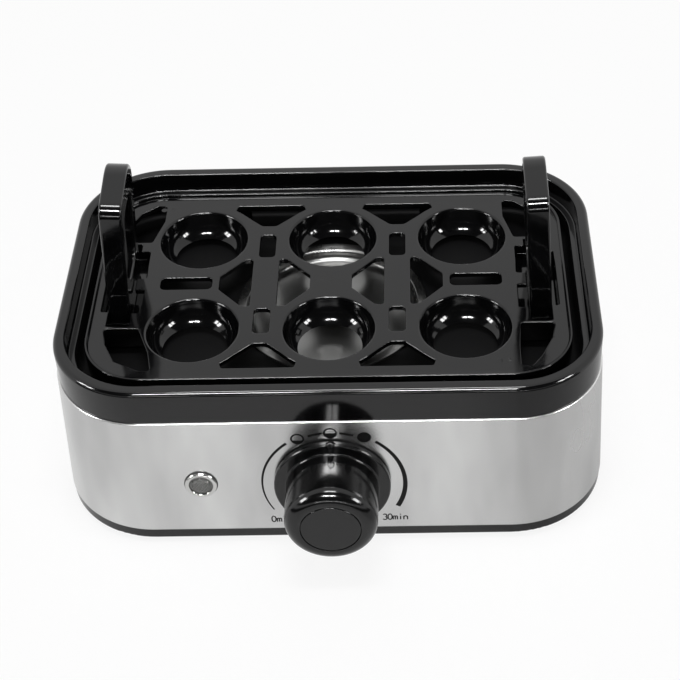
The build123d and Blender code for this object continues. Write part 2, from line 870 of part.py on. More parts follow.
def gear(teeth, thickness, bore, phase):
    """A wheel with straight-flanked teeth, a tooth centred on the phase angle in degrees."""
    pitch_radius = wheel_module * teeth / 2
    tip = pitch_radius + tooth_addendum * wheel_module
    root = pitch_radius - tooth_dedendum * wheel_module
    pitch_angle = 360 / teeth
    points = []
    for i in range(teeth):
        middle = phase + i * pitch_angle
        root_half = tooth_root_share * pitch_angle
        tip_half = tooth_tip_share * pitch_angle
        for radius, offset in ((root, -root_half), (tip, -tip_half), (tip, tip_half), (root, root_half)):
            angle = radians(middle + offset)
            points.append((radius * cos(angle), radius * sin(angle)))
    shape = make_face(Polyline(*points, close=True)) - Circle(bore)
    return extrude(shape, thickness)


def make_timer_front_plate():
    plate = Pos(0, 0, plate_back) * extrude(RectangleRounded(timer_side, timer_side, 4), timer_sheet)
    plate -= rod(shaft_radius + fit_gap, plate_back - 1, 1)
    plate -= rod(arbor_radius + fit_gap, plate_back - 1, 1, 0, -pinion_y)
    for side in (-1, 1):
        plate -= rod(timer_screw_radius, plate_back - 1, 1, side * timer_screw_offset, 0)
    return dial * plate


def make_timer_case():
    half = timer_side / 2 - 0.5
    shell = Pos(0, 0, case_back) * extrude(RectangleRounded(2 * half, 2 * half, 4), timer_depth)
    shell -= Pos(0, 0, case_back + timer_sheet) * extrude(
        RectangleRounded(2 * (half - timer_sheet), 2 * (half - timer_sheet), 3), timer_depth
    )
    shell += rod(5.0, case_back, case_back + 3.0)
    shell -= rod(shaft_radius + fit_gap, case_back - 1, case_back + 5)
    shell += rod(3.0, case_back, case_back + 3.0, 0, -pinion_y + 0.2)
    shell -= rod(arbor_radius + fit_gap, case_back - 1, case_back + 5, 0, -pinion_y)
    for side in (-1, 1):
        near = side * (half - 0.5)
        far = side * (half + blade_length)
        shell += block(min(near, far), max(near, far), timer_blade_y - blade_width / 2,
                       timer_blade_y + blade_width / 2, timer_blade_z - blade_sheet / 2,
                       timer_blade_z + blade_sheet / 2)
    return dial * shell


def make_timer_shaft():
    shaft = rod(shaft_radius, case_back + 0.2, shaft_front)
    shaft -= block(-4, 4, shaft_flat, 4, shaft_front - 11, shaft_front + 1)
    return dial * shaft


def make_timer_wheel():
    wheel = gear(wheel_teeth, wheel_thickness, shaft_radius, 270 + 180 / wheel_teeth)
    return dial * (Pos(0, 0, wheel_top - wheel_thickness) * wheel)


def make_timer_barrel():
    top = wheel_top - wheel_thickness
    drum = tube(barrel_radius, shaft_radius, top - barrel_height, top)
    drum -= tube(barrel_radius - 1.2, shaft_radius + 2.5, top - barrel_height - 1, top - 1.0)
    return dial * drum


def make_timer_pinion():
    body = gear(pinion_teeth, wheel_thickness + 1.0, 0.1, 90)
    body = Pos(0, 0, wheel_top - wheel_thickness - 0.5) * body
    body += rod(arbor_radius, case_back + 0.2, -band_sheet - 0.1)
    return dial * (Pos(0, -pinion_y, 0) * body)


def make_timer_screws():
    screw = pan_screw(timer_screw_radius - 0.05, timer_screw_head, timer_screw_head_height, 6.0)
    return [
        dial * (Pos(side * timer_screw_offset, 0, 0) * Rot(180, 0, 0) * screw) for side in (-1, 1)
    ]


def make_bell():
    rim_z = case_back - bell_gap
    top_z = rim_z - bell_depth
    outer = Pos(0, 0, top_z) * extrude(Circle(bell_radius), bell_depth)
    outer = fillet(outer.edges().filter_by_position(Axis.Z, top_z - 0.01, top_z + 0.01), 5.0)
    inner = Pos(0, 0, top_z + bell_sheet) * extrude(Circle(bell_radius - bell_sheet), bell_depth)
    inner = fillet(
        inner.edges().filter_by_position(Axis.Z, top_z + bell_sheet - 0.01, top_z + bell_sheet + 0.01), 4.2
    )
    dome = outer - inner
    dome -= rod(bell_post * 0.6, top_z - 1, top_z + 3, 0, 6)
    return dial * dome


def make_bell_post():
    top_z = case_back - bell_gap - bell_depth
    post = rod(bell_post, top_z + bell_sheet, case_back, 0, 6)
    post += rod(bell_post * 0.6, top_z - 1.2, top_z + bell_sheet, 0, 6)
    post += rod(bell_post * 1.3, top_z - 2.4, top_z - 0.0, 0, 6)
    return dial * post


def make_striker():
    arm = block(8.0, 10.0, -8.0, 8.0, case_back - 1.6, case_back)
    hammer = block(8.0, 10.0, -8.0, -4.0, case_back - 6.0, case_back)
    return dial * (arm + hammer)


# Knob, its face disc and the spring clip in its hub
def make_knob():
    base = knob_gap
    skirt = rod(knob_skirt_radius, base, base + knob_skirt_height)
    skirt = fillet(
        skirt.edges().filter_by_position(
            Axis.Z, base + knob_skirt_height - 0.01, base + knob_skirt_height + 0.01
        ), knob_skirt_round
    )
    grip = rod(knob_grip_radius, base, knob_projection)
    grip = fillet(
        grip.edges().filter_by_position(Axis.Z, knob_projection - 0.01, knob_projection + 0.01),
        knob_face_round
    )
    body = skirt + grip
    hollow = rod(knob_rear_radius - 0.4, base - 1, knob_projection - knob_face_round)
    hub = rod(knob_hub_radius, 3.4, knob_projection - knob_face_round)
    body = (body - hollow) + hub
    body -= rod(knob_skirt_radius - 2.4, base - 1, base + knob_skirt_height - 1.6)
    body -= rod(cap_radius + cap_groove, knob_projection - cap_thickness, knob_projection + 1)
    body -= rod(cap_peg_radius + fit_gap, knob_projection - 6, knob_projection + 1)
    bore = rod(shaft_radius + fit_gap, 0, shaft_front + 0.4)
    bore -= block(-4, 4, shaft_flat + clip_sheet + 0.1, 4, 3.4 + 2.6, shaft_front + 1)
    body -= bore
    notch = block(-0.9, 0.9, knob_skirt_radius - 3.6, knob_skirt_radius + 1, base + 1.2, base + 4)
    body -= notch
    return dial * body


def make_knob_cap():
    disc = rod(cap_radius, knob_projection - cap_thickness, knob_projection)
    disc = fillet(
        disc.edges().filter_by_position(Axis.Z, knob_projection - 0.01, knob_projection + 0.01), 0.5
    )
    seat = knob_projection - cap_thickness
    disc += rod(cap_peg_radius, seat - cap_peg_length, seat)
    return dial * disc


def make_knob_clip():
    clip = block(-clip_width / 2, clip_width / 2, shaft_flat + 0.05, shaft_flat + 0.05 + clip_sheet,
                 6.4, 6.4 + clip_length)
    return dial * clip


# Pilot lamp, in its own frame on the band
def make_lamp_bezel():
    flange = tube(bezel_radius, lens_radius, 0, bezel_height)
    flange = fillet(
        flange.edges().filter_by_position(Axis.Z, bezel_height - 0.01, bezel_height + 0.01), 0.6
    )
    barrel = tube(bezel_barrel, lens_radius - 0.6, -bezel_barrel_length, 0)
    return lamp * (flange + barrel)


def make_lamp_lens():
    lens = rod(lens_radius - fit_gap, 0, bezel_height + lens_rise)
    lens = fillet(
        lens.edges().filter_by_position(
            Axis.Z, bezel_height + lens_rise - 0.01, bezel_height + lens_rise + 0.01
        ), 1.4
    )
    lens += tube(lens_radius - 0.6 - fit_gap, 3.4, -lens_depth, 0)
    return lamp * lens


def make_lamp_nut():
    nut = hexagon(lamp_nut_across, bezel_barrel + fit_gap, -band_sheet - lamp_nut_height, -band_sheet)
    return lamp * nut


def make_neon():
    low = -bezel_barrel_length - 1.0
    glass = rod(bulb_radius, low, low + bulb_length)
    glass = fillet(
        glass.edges().filter_by_position(Axis.Z, low + bulb_length - 0.01, low + bulb_length + 0.01), 2.2
    )
    return lamp * glass


def make_lamp_holder():
    low = -bezel_barrel_length - holder_length
    body = rod(bezel_barrel, low, -bezel_barrel_length)
    body -= rod(holder_bore, -bezel_barrel_length - 1.0, -bezel_barrel_length + 1)
    return lamp * body


# Cord inlet, terminal block and cord clamp
def make_gland():
    flange = rod(gland_flange, 0, gland_flange_height)
    flange = fillet(
        flange.edges().filter_by_position(Axis.Z, gland_flange_height - 0.01, gland_flange_height + 0.01), 1.0
    )
    body = flange + rod(gland_barrel, -(gland_length - gland_flange_height), 0)
    body -= rod(gland_bore, -gland_length, gland_length)
    return inlet * body


def make_gland_nut():
    nut = hexagon(gland_nut_across, gland_barrel + fit_gap, -band_sheet - gland_nut_height, -band_sheet)
    return inlet * nut


block_low = floor_top + 2.0
way_z = block_low + 5.0


def way_x(index):
    """The place along X of one way of the terminal block, counted from the left."""
    return inlet_x + (index - (block_ways - 1) / 2) * block_pitch


def make_terminal_block():
    x0 = inlet_x - block_length / 2
    body = block(x0, x0 + block_length, block_y - block_width / 2, block_y + block_width / 2,
                 block_low, block_low + block_height)
    for i in range(block_ways):
        x = way_x(i)
        for side in (-1, 1):
            y = block_y + side * 5.0
            body -= rod(block_screw_radius + 0.1, block_low + block_height - block_screw_depth,
                        block_low + block_height + 1, x, y)
        way = Plane(origin=(x, block_y - block_width, way_z), z_dir=(0, 1, 0)) * Circle(block_bore)
        body -= extrude(way, 2 * block_width)
    return body


def make_block_screws():
    screws = []
    top = block_low + block_height
    for i in range(block_ways):
        for side in (-1, 1):
            x = way_x(i)
            y = block_y + side * 5.0
            head = rod(block_screw_radius, top - block_screw_depth, top - 0.4, x, y)
            head -= Pos(x, y, top - 0.4) * Box(2 * block_screw_radius, 0.6, 1.0)
            screws.append(head)
    return screws


def make_cord_clamp():
    bar = block(inlet_x - clamp_bar_length / 2, inlet_x + clamp_bar_length / 2,
                clamp_bar_y - clamp_bar_width / 2, clamp_bar_y + clamp_bar_width / 2,
                clamp_bar_z, clamp_bar_z + clamp_bar_height)
    for side in (-1, 1):
        bar -= rod(1.7, clamp_bar_z - 1, clamp_bar_z + 9, inlet_x + side * clamp_post_spread, clamp_bar_y)
    return bar


def make_cord_clamp_screws():
    screw = pan_screw(1.25, 2.7, 1.8, 8.0)
    top = clamp_bar_z + clamp_bar_height
    return [
        Pos(inlet_x + side * clamp_post_spread, clamp_bar_y, top) * Rot(180, 0, 0) * screw
        for side in (-1, 1)
    ]


def wire(points, bend):
    """A round lead along straight runs joined by tangent arcs."""
    path = FilletPolyline(*points, radius=bend)
    start = Plane(origin=path @ 0, z_dir=path % 0)
    return sweep(start * Circle(lead_radius), path)


def world(place, x, y, z):
    """A point given in a local frame, in the body's own millimetres."""
    point = (place * Pos(x, y, z)).position
    return (point.X, point.Y, point.Z)


block_front = block_y - block_width / 2
pin_reach = bead_length + terminal_length


def pin_tip(side):
    """The free end of an element pin and a point a little further on, for the lead's first bend."""
    point, direction = element_end(side)
    tip = tuple(p + pin_reach * d for p, d in zip(point, direction))
    beyond = tuple(p + (pin_reach + lead_turn) * d for p, d in zip(point, direction))
    return tip, beyond


lead_turn = 5.0
fuse_top = thermostat_low - blade_length + 1.0
fuse_length = 12.0
fuse_radius = 2.2


def make_lead_live():
    x, y, z = world(dial, -(timer_side / 2 - 0.5 + blade_length), timer_blade_y, timer_blade_z)
    return wire([(way_x(2), block_front, way_z), (way_x(2), y, way_z), (way_x(2), y, z), (x, y, z)], 5.0)


def make_lead_switched():
    x, y, z = world(dial, timer_side / 2 - 0.5 + blade_length, timer_blade_y, timer_blade_z)
    end = thermostat_low - blade_length
    return wire(
        [(x, y, z), (x + 14, y, z), (x + 14, -20, 20), (blade_offset, 0, 20), (blade_offset, 0, end)], 5.0
    )


def make_lead_heater():
    tip, beyond = pin_tip(1)
    end = thermostat_low - blade_length
    low = end - 12
    return wire(
        [(-blade_offset, 0, end), (-blade_offset, 0, low), (beyond[0], beyond[1], low), beyond, tip], 3.5
    )


def make_lead_fuse():
    tip, beyond = pin_tip(-1)
    return wire([tip, beyond, (beyond[0], beyond[1], fuse_top)], 3.5)


def make_thermal_fuse():
    tip, beyond = pin_tip(-1)
    return rod(fuse_radius, fuse_top - fuse_length, fuse_top, beyond[0], beyond[1])


def make_lead_neutral():
    tip, beyond = pin_tip(-1)
    x, y = beyond[0], beyond[1]
    low = fuse_top - fuse_length
    return wire(
        [(x, y, low), (x, y, way_z), (way_x(4), y, way_z), (way_x(4), block_front, way_z)], 5.0
    )


def make_lead_earth():
    x, y = stud_places[3]
    reach = tag_length / hypot(1, 1)
    z = clamp_low - lead_radius - 0.1
    out = 4.5
    start = (x + reach, y - reach, z)
    turn = (x + reach + out, y - reach - out, z)
    low = floor_top + 4.3
    return wire(
        [start, turn, (turn[0], turn[1], low), (way_x(3), 5, low), (way_x(3), block_front, way_z)], 4.0
    )


def make_lamp_leads():
    leads = []
    for way, side in ((0, -1), (1, 1)):
        x, y, z = world(lamp, side * 2.4, 0, -bezel_barrel_length - holder_length - 0.2)
        leads.append(wire(
            [(x, y, z), (x, y + 30, z - 2), (way_x(way), 0, way_z), (way_x(way), block_front, way_z)], 8.0
        ))
    return leads


nodes["top_frame"] = make_top_frame()
nodes["steel_band"], nodes["band_back_panel"] = make_band()
nodes["base_tray"] = make_base()
nodes["rubber_feet"] = make_feet()
nodes["base_screws"] = make_base_screws()
nodes["egg_tray"] = make_tray()
nodes["handle_left"] = make_handle(-1)
nodes["handle_right"] = make_handle(1)
nodes["handle_screws"] = make_handle_screws()
nodes["heating_plate"] = make_plate()
nodes["plate_seal"] = make_seal()
nodes["plate_clamp_ring"] = make_clamp_ring()
nodes["clamp_nuts"] = make_clamp_nuts()
nodes["heat_spreader"] = make_spreader()
nodes["heating_element"] = make_element()
nodes["element_beads"] = make_element_beads()
nodes["element_terminals"] = make_element_terminals()
nodes["thermostat"] = make_thermostat()
nodes["thermostat_strap"] = make_strap()
nodes["earth_tag"] = make_earth_tag()
nodes["timer_front_plate"] = make_timer_front_plate()
nodes["timer_case"] = make_timer_case()
nodes["timer_shaft"] = make_timer_shaft()
nodes["timer_main_wheel"] = make_timer_wheel()
nodes["timer_spring_barrel"] = make_timer_barrel()
nodes["timer_pinion"] = make_timer_pinion()
nodes["timer_screws"] = make_timer_screws()
nodes["timer_bell"] = make_bell()
nodes["timer_bell_post"] = make_bell_post()
nodes["timer_striker"] = make_striker()
nodes["knob"] = make_knob()
nodes["knob_cap"] = make_knob_cap()
nodes["knob_spring_clip"] = make_knob_clip()
nodes["lamp_bezel"] = make_lamp_bezel()
nodes["lamp_lens"] = make_lamp_lens()
nodes["lamp_nut"] = make_lamp_nut()
nodes["neon_lamp"] = make_neon()
nodes["lamp_holder"] = make_lamp_holder()
nodes["cord_gland"] = make_gland()
nodes["cord_gland_nut"] = make_gland_nut()
nodes["terminal_block"] = make_terminal_block()
nodes["terminal_screws"] = make_block_screws()
nodes["cord_clamp"] = make_cord_clamp()
nodes["cord_clamp_screws"] = make_cord_clamp_screws()
nodes["lead_live"] = make_lead_live()
nodes["lead_switched"] = make_lead_switched()
nodes["lead_heater"] = make_lead_heater()
nodes["lead_fuse"] = make_lead_fuse()
nodes["thermal_fuse"] = make_thermal_fuse()
nodes["lead_neutral"] = make_lead_neutral()
nodes["lead_earth"] = make_lead_earth()
nodes["lamp_leads"] = make_lamp_leads()

os.makedirs("parts", exist_ok=True)
groups = {name: (shape if isinstance(shape, list) else [shape]) for name, shape in nodes.items()}
boxes = [shape.bounding_box() for group in groups.values() for shape in group]
front = min(b.min.Y for b in boxes)
back = max(b.max.Y for b in boxes)
shift = -(front + back) / 2
print("moved in Y by", round(shift, 3), "depth", round(back - front, 2))
for name, group in groups.items():
    solids = [solid for shape in group for solid in (Pos(0, shift, 0) * shape).solids()]
    whole = solids[0] if len(solids) == 1 else Compound(solids)
    export_step(whole, "parts/" + name + ".step")
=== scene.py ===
"""Looks of an electric egg cooker: black moulded rim and water pan, steel band, egg tray, dial and lamp."""
import json
from math import atan, cos, pi, radians, sin
import bmesh
import bpy
import numpy as np
from mathutils import Matrix, Vector
from mathutils.geometry import delaunay_2d_cdt

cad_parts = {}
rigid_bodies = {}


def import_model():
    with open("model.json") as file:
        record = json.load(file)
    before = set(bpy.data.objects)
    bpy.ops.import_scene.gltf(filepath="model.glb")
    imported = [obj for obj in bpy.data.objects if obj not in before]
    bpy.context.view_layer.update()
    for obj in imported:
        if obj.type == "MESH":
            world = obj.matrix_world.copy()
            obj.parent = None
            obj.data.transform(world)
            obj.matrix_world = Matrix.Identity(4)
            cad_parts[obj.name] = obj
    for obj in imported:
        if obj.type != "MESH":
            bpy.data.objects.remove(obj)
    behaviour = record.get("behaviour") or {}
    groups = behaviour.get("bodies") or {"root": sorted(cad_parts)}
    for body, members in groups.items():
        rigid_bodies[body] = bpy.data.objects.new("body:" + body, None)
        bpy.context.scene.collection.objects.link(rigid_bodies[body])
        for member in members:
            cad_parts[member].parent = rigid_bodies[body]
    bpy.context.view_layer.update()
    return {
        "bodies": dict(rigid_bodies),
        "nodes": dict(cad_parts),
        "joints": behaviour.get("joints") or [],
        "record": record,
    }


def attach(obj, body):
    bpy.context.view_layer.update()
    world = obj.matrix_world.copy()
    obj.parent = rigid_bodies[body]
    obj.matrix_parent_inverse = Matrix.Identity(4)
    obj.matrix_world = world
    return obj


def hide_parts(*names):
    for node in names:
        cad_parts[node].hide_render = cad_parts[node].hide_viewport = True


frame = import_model()
record = frame["record"]
nodes = frame["nodes"]

MM = 0.001

# Sizes of the cooker, in millimetres, about the body's upright centre line. RIM, STEP, WELL and TRAY are
# rounded rectangles: half length, half depth and corner radius
SHIFT_Y = 13.6545
RIM_TOP = 94.7
BAND_TOP = 76.5
BAND_BOTTOM = 9.1
TRAY_TOP = 87.5
LEDGE_TOP = 84.5
PAN_TOP = 71.5
PAN_BOTTOM = 69.1
SHELL = 2.4
RIM = (125.8, 82.8, 41.8)
STEP = (120.4, 76.8, 36.4)
WELL = (116.9, 73.3, 32.9)
BAND_PROUD = 0.7
BAND_SHEET = 0.6
BAND_FLARE = 3.1
TRAY = (112.4, 68.0, 28.5)
SLOPE = BAND_FLARE / (BAND_TOP - BAND_BOTTOM)
TILT = atan(SLOPE)
COLUMN = 63.5
ROW = 32.95
WEB_X = COLUMN / 2
CUP = 21.2
CUP_FOOT = 15.2
CUP_DEPTH = 12.0
CUP_WALL = 1.8
CUP_EDGE = 1.2
DIAL_X = 1.0
DIAL_Z = 39.0
LAMP_X = -59.6
LAMP_Z = 39.0


# Colours and node helpers
def linear(hex_colour):
    """An sRGB hex colour as linear RGBA."""
    value = [int(hex_colour[i:i + 2], 16) / 255 for i in (1, 3, 5)]
    return [c / 12.92 if c <= 0.04045 else ((c + 0.055) / 1.055) ** 2.4 for c in value] + [1.0]


def add_node(tree, kind, settings=None, **links):
    """Adds a node, sets its properties and input values, and links its inputs to given sockets."""
    node = tree.nodes.new(kind)
    for key, value in (settings or {}).items():
        if isinstance(key, str) and hasattr(node, key):
            setattr(node, key, value)
        else:
            node.inputs[key].default_value = value
    for key, source in links.items():
        tree.links.new(source, node.inputs[key.replace("_", " ")])
    return node


def new_material(name):
    """An empty node material with an output, and the tree that it is built in."""
    material = bpy.data.materials.new(name)
    material.use_nodes = True
    material.node_tree.nodes.clear()
    return material, material.node_tree


def finish_material(tree, shader):
    """Links a shader to the material's output."""
    output = tree.nodes.new("ShaderNodeOutputMaterial")
    tree.links.new(shader, output.inputs["Surface"])


# Materials
def cloud(tree, scales):
    """Soft noise on Object coordinates, with one scale for each axis in waves a metre."""
    place = add_node(tree, "ShaderNodeTexCoord").outputs["Object"]
    spread = add_node(tree, "ShaderNodeMapping", {"Scale": scales}, Vector=place).outputs["Vector"]
    return add_node(tree, "ShaderNodeTexNoise", {"Scale": 1.0, "Detail": 3.0}, Vector=spread).outputs["Fac"]


def spread_value(tree, source, low, high):
    """Carries a noise's middle range to a range of values."""
    limits = {"From Min": 0.2, "From Max": 0.8, "To Min": low, "To Max": high}
    return add_node(tree, "ShaderNodeMapRange", limits, Value=source).outputs["Result"]


def wandering_colour(tree, source, low, high):
    """A colour that wanders between two hex colours with a noise."""
    mix = add_node(tree, "ShaderNodeMix", {"data_type": "RGBA"})
    tree.links.new(source, mix.inputs[0])
    mix.inputs[6].default_value = linear(low)
    mix.inputs[7].default_value = linear(high)
    return mix.outputs[2]


def plain_finish(name, colours, roughness, scales, distance, strength=0.4, smudge=None, **settings):
    """A material of one substance, whose surface relief is a noise. Its colour and roughness, each given as
    (low, high), wander with the same noise, or with a second one that has the scales of its smudges."""
    material, tree = new_material(name)
    grain = cloud(tree, scales)
    blur = cloud(tree, smudge) if smudge else grain
    bump = add_node(tree, "ShaderNodeBump", {"Strength": strength, "Distance": distance}, Height=grain)
    shader = add_node(
        tree, "ShaderNodeBsdfPrincipled", {key.replace("_", " "): value for key, value in settings.items()},
        Base_Color=wandering_colour(tree, spread_value(tree, blur, 0.0, 1.0), *colours),
        Roughness=spread_value(tree, blur, *roughness), Normal=bump.outputs["Normal"],
    )
    finish_material(tree, shader.outputs["BSDF"])
    return material


# Injection-moulded ABS from a polished tool: a deep black with clear, faintly wavy reflections
gloss_black = plain_finish(
    "moulded_abs_gloss_black", ("#080809", "#0b0b0c"), (0.07, 0.11), (50, 50, 50), 0.00005, 0.3, IOR=1.46
)
# The same ABS on the knob, a little duller
satin_black = plain_finish(
    "moulded_abs_satin_black", ("#090909", "#0d0d0e"), (0.12, 0.16), (50, 50, 50), 0.00005, 0.3, IOR=1.46
)
# The same ABS from a spark-eroded tool, in the water pan: dull, with hardly a reflection
textured_black = plain_finish(
    "moulded_abs_textured_black", ("#070708", "#0a0a0b"), (0.5, 0.65), (1400, 1400, 1400), 0.00004, 0.4,
    IOR=1.46, Specular_IOR_Level=0.12
)
# Satin stainless sheet: slow waves from rolling, under upright smudges from wiping
satin_steel = plain_finish(
    "satin_stainless_sheet", ("#b4b4b4", "#eaeae9"), (0.20, 0.30), (14, 14, 22), 0.0001, 0.3, (24, 24, 7),
    Metallic=1.0,
)
# Polished stainless: nearly a mirror, with soft waves
polished_steel = plain_finish(
    "polished_stainless", ("#c4c4c2", "#d2d2d0"), (0.10, 0.16), (90, 90, 90), 0.00005, 0.3, Metallic=1.0
)
# Drawn stainless dish: duller than a mirror and clouded by boiling water. Its colour is much darker than bare
# steel, a painted shade for the black tray above that it reflects
shaded_dish_steel = plain_finish(
    "drawn_stainless_dish", ("#747473", "#8e8e8d"), (0.24, 0.34), (120, 120, 120), 0.00003, 0.2, (30, 30, 30),
    Metallic=1.0,
)
# Clear polycarbonate, moulded a little smoked and cloudy
clear_lens = plain_finish(
    "moulded_clear_polycarbonate", ("#8f8f8d", "#a6a6a4"), (0.08, 0.14), (400, 400, 400), 0.00002, 0.2,
    Transmission_Weight=0.5, IOR=1.58
)
# Screen-printed ink: flat black with a slight tooth
black_ink = plain_finish(
    "screen_print_black", ("#0b0b0b", "#111111"), (0.4, 0.5), (900, 900, 900), 0.00001, 0.3,
    Specular_IOR_Level=0.15
)
# Moulded rubber: dull and faintly grainy
black_rubber = plain_finish(
    "moulded_rubber_black", ("#0e0e0e", "#151515"), (0.7, 0.85), (700, 700, 700), 0.00004, 0.5
)
# Zinc-plated steel: a bluish, cloudy sheen
zinc_steel = plain_finish(
    "zinc_plated_steel", ("#a7abb0", "#c0c3c6"), (0.25, 0.4), (260, 260, 260), 0.00002, 0.4, Metallic=1.0
)
# Mill-finish aluminium: pale and dull, with drawing lines
aluminium = plain_finish(
    "mill_finish_aluminium", ("#bfc0c1", "#d0d0d0"), (0.35, 0.5), (120, 900, 900), 0.00002, Metallic=1.0
)
# Plain brass: yellow with darker stains
brass = plain_finish(
    "plain_brass", ("#b58a3e", "#cda455"), (0.25, 0.4), (220, 220, 220), 0.00002, 0.3, Metallic=1.0
)
# Natural white nylon and ceramic: off-white, smooth
white_plastic = plain_finish(
    "natural_white_nylon", ("#dcd9cf", "#e6e3da"), (0.4, 0.55), (180, 180, 180), 0.00003, 0.3
)
# Neon lamp glass: thin clear tube with a warm gas tint
neon_glass = plain_finish(
    "neon_lamp_glass", ("#e8c8b4", "#f2dccb"), (0.04, 0.08), (200, 200, 200), 0.00002, 0.2,
    Transmission_Weight=0.8, IOR=1.5
)
# Lead insulation: extruded PVC, half gloss
brown_lead, blue_lead, green_lead = (
    plain_finish("pvc_insulation_" + name, colours, (0.35, 0.5), scales, 0.00002, 0.3)
    for name, colours, scales in (
        ("brown", ("#4a2a16", "#5a351e"), (400, 400, 400)),
        ("blue", ("#1d4f9a", "#2a5fae"), (400, 400, 400)),
        ("green", ("#2f7a2a", "#d8c93a"), (60, 60, 60)),
    )
)

finish_of_slot = {
    "black_gloss": gloss_black, "satin_steel": satin_steel, "polished_steel": polished_steel,
    "black_rubber": black_rubber, "zinc_steel": zinc_steel, "aluminium": aluminium, "brass": brass,
    "clear_lens": clear_lens, "neon_glass": neon_glass, "white_plastic": white_plastic,
    "brown_lead": brown_lead, "blue_lead": blue_lead, "green_lead": green_lead,
}
for subpart in record["subparts"]:
    node_mesh = nodes[subpart["node"]].data
    node_mesh.materials.clear()
    node_mesh.materials.append(finish_of_slot[subpart["material_slot"]])


# Surfaces
def corner_turns(steps):
    """Angles round the four quarter turns of a rounded rectangle, and the signs of each turn's centre."""
    quarter = np.linspace(0, pi / 2, steps + 1)
    angle = np.concatenate([quarter + k * pi / 2 for k in range(4)])
    return angle, np.repeat([1, -1, -1, 1], steps + 1), np.repeat([1, 1, -1, -1], steps + 1)


def rounded_rows(rows, steps=24):
    """Carries a section round rounded rectangles. A row is (half x, half y, corner, height), and its points
    are each corner's centre plus the corner radius times (cos a, sin a)."""
    half_x, half_y, corner, height = np.array(rows, float).T[..., None]
    angle, side_x, side_y = corner_turns(steps)
    x = side_x * (half_x - corner) + corner * np.cos(angle)
    y = side_y * (half_y - corner) + corner * np.sin(angle)
    return np.stack([x, y, height + 0 * x], -1)


def inset_rows(base, points):
    """Rows for rounded_rows from a base rectangle and points (inset, height) of a section."""
    return [(base[0] - d, base[1] - d, base[2] - d, z) for d, z in points]


def turned_rows(profile, steps=96):
    """Turns a profile of (radius, height) once about the Z axis."""
    radius, height = np.array(profile, float).T[..., None]
    angle = np.linspace(0, 2 * pi, steps, endpoint=False)
    x = radius * np.cos(angle)
    return np.stack([x, radius * np.sin(angle), height + 0 * x], -1)


def arc(centre_x, centre_y, radius, start, end, steps=6):
    """Points of a circular arc between two angles in degrees."""
    angle = np.radians(np.linspace(start, end, steps + 1))
    return np.stack([centre_x + radius * np.cos(angle), centre_y + radius * np.sin(angle)], -1).tolist()


def rounded_polygon(points, radius, grow=0.0, steps=5):
    """A closed polygon with rounded corners, grown outwards: each corner is an arc about its fillet's
    centre, whose radius gains grow where the corner is convex and loses it where it is hollow. There is one
    radius for all the corners, or one for each."""
    here = np.array(points, float)
    radius = np.broadcast_to(radius, len(here)).astype(float)
    before, after = np.roll(here, 1, 0) - here, np.roll(here, -1, 0) - here
    before /= np.linalg.norm(before, axis=1)[:, None]
    after /= np.linalg.norm(after, axis=1)[:, None]
    turn = np.sign(after[:, 0] * before[:, 1] - after[:, 1] * before[:, 0])
    following = np.roll(here, -1, 0)
    facing = np.sign((following[:, 1] * here[:, 0] - following[:, 0] * here[:, 1]).sum())
    half = np.arccos(np.clip((before * after).sum(1), -1, 1)) / 2
    middle = before + after
    middle /= np.linalg.norm(middle, axis=1)[:, None]
    centre = here + middle * (radius / np.sin(half))[:, None]
    first = (here + before * (radius / np.tan(half))[:, None] - centre) / radius[:, None]
    last = (here + after * (radius / np.tan(half))[:, None] - centre) / radius[:, None]
    start = np.arctan2(first[:, 1], first[:, 0])
    sweep = (np.arctan2(last[:, 1], last[:, 0]) - start + pi) % (2 * pi) - pi
    angle = start[:, None] + sweep[:, None] * np.linspace(0, 1, steps + 1)
    reach = (radius + grow * turn * facing)[:, None]
    loop = centre[:, None] + np.stack([reach * np.cos(angle), reach * np.sin(angle)], -1)
    loop = loop.reshape(-1, 2)
    return loop if facing > 0 else loop[::-1]


def circle(x, y, radius, grow=0.0, steps=72):
    """A circle about a point, grown outwards."""
    angle = np.linspace(0, 2 * pi, steps, endpoint=False)
    return np.stack([x + (radius + grow) * np.cos(angle), y + (radius + grow) * np.sin(angle)], -1)


def wall(outline, section):
    """Carries a section of (grow, height) points round an outline, which is a function of grow."""
    loops = [(outline(grow), z) for grow, z in section]
    return np.array([np.column_stack([loop, np.full(len(loop), z)]) for loop, z in loops])


def net(points, close=False, ring=True):
    """Vertices and quads of a grid. It wraps round its columns if it is a ring, and its rows if it closes."""
    rows, columns = points.shape[:2]
    i, j = np.meshgrid(
        np.arange(rows if close else rows - 1), np.arange(columns if ring else columns - 1), indexing="ij"
    )
    k, m = (i + 1) % rows, (j + 1) % columns
    quads = np.stack([i * columns + j, i * columns + m, k * columns + m, k * columns + j], -1)
    return points.reshape(-1, 3), quads.reshape(-1, 4)


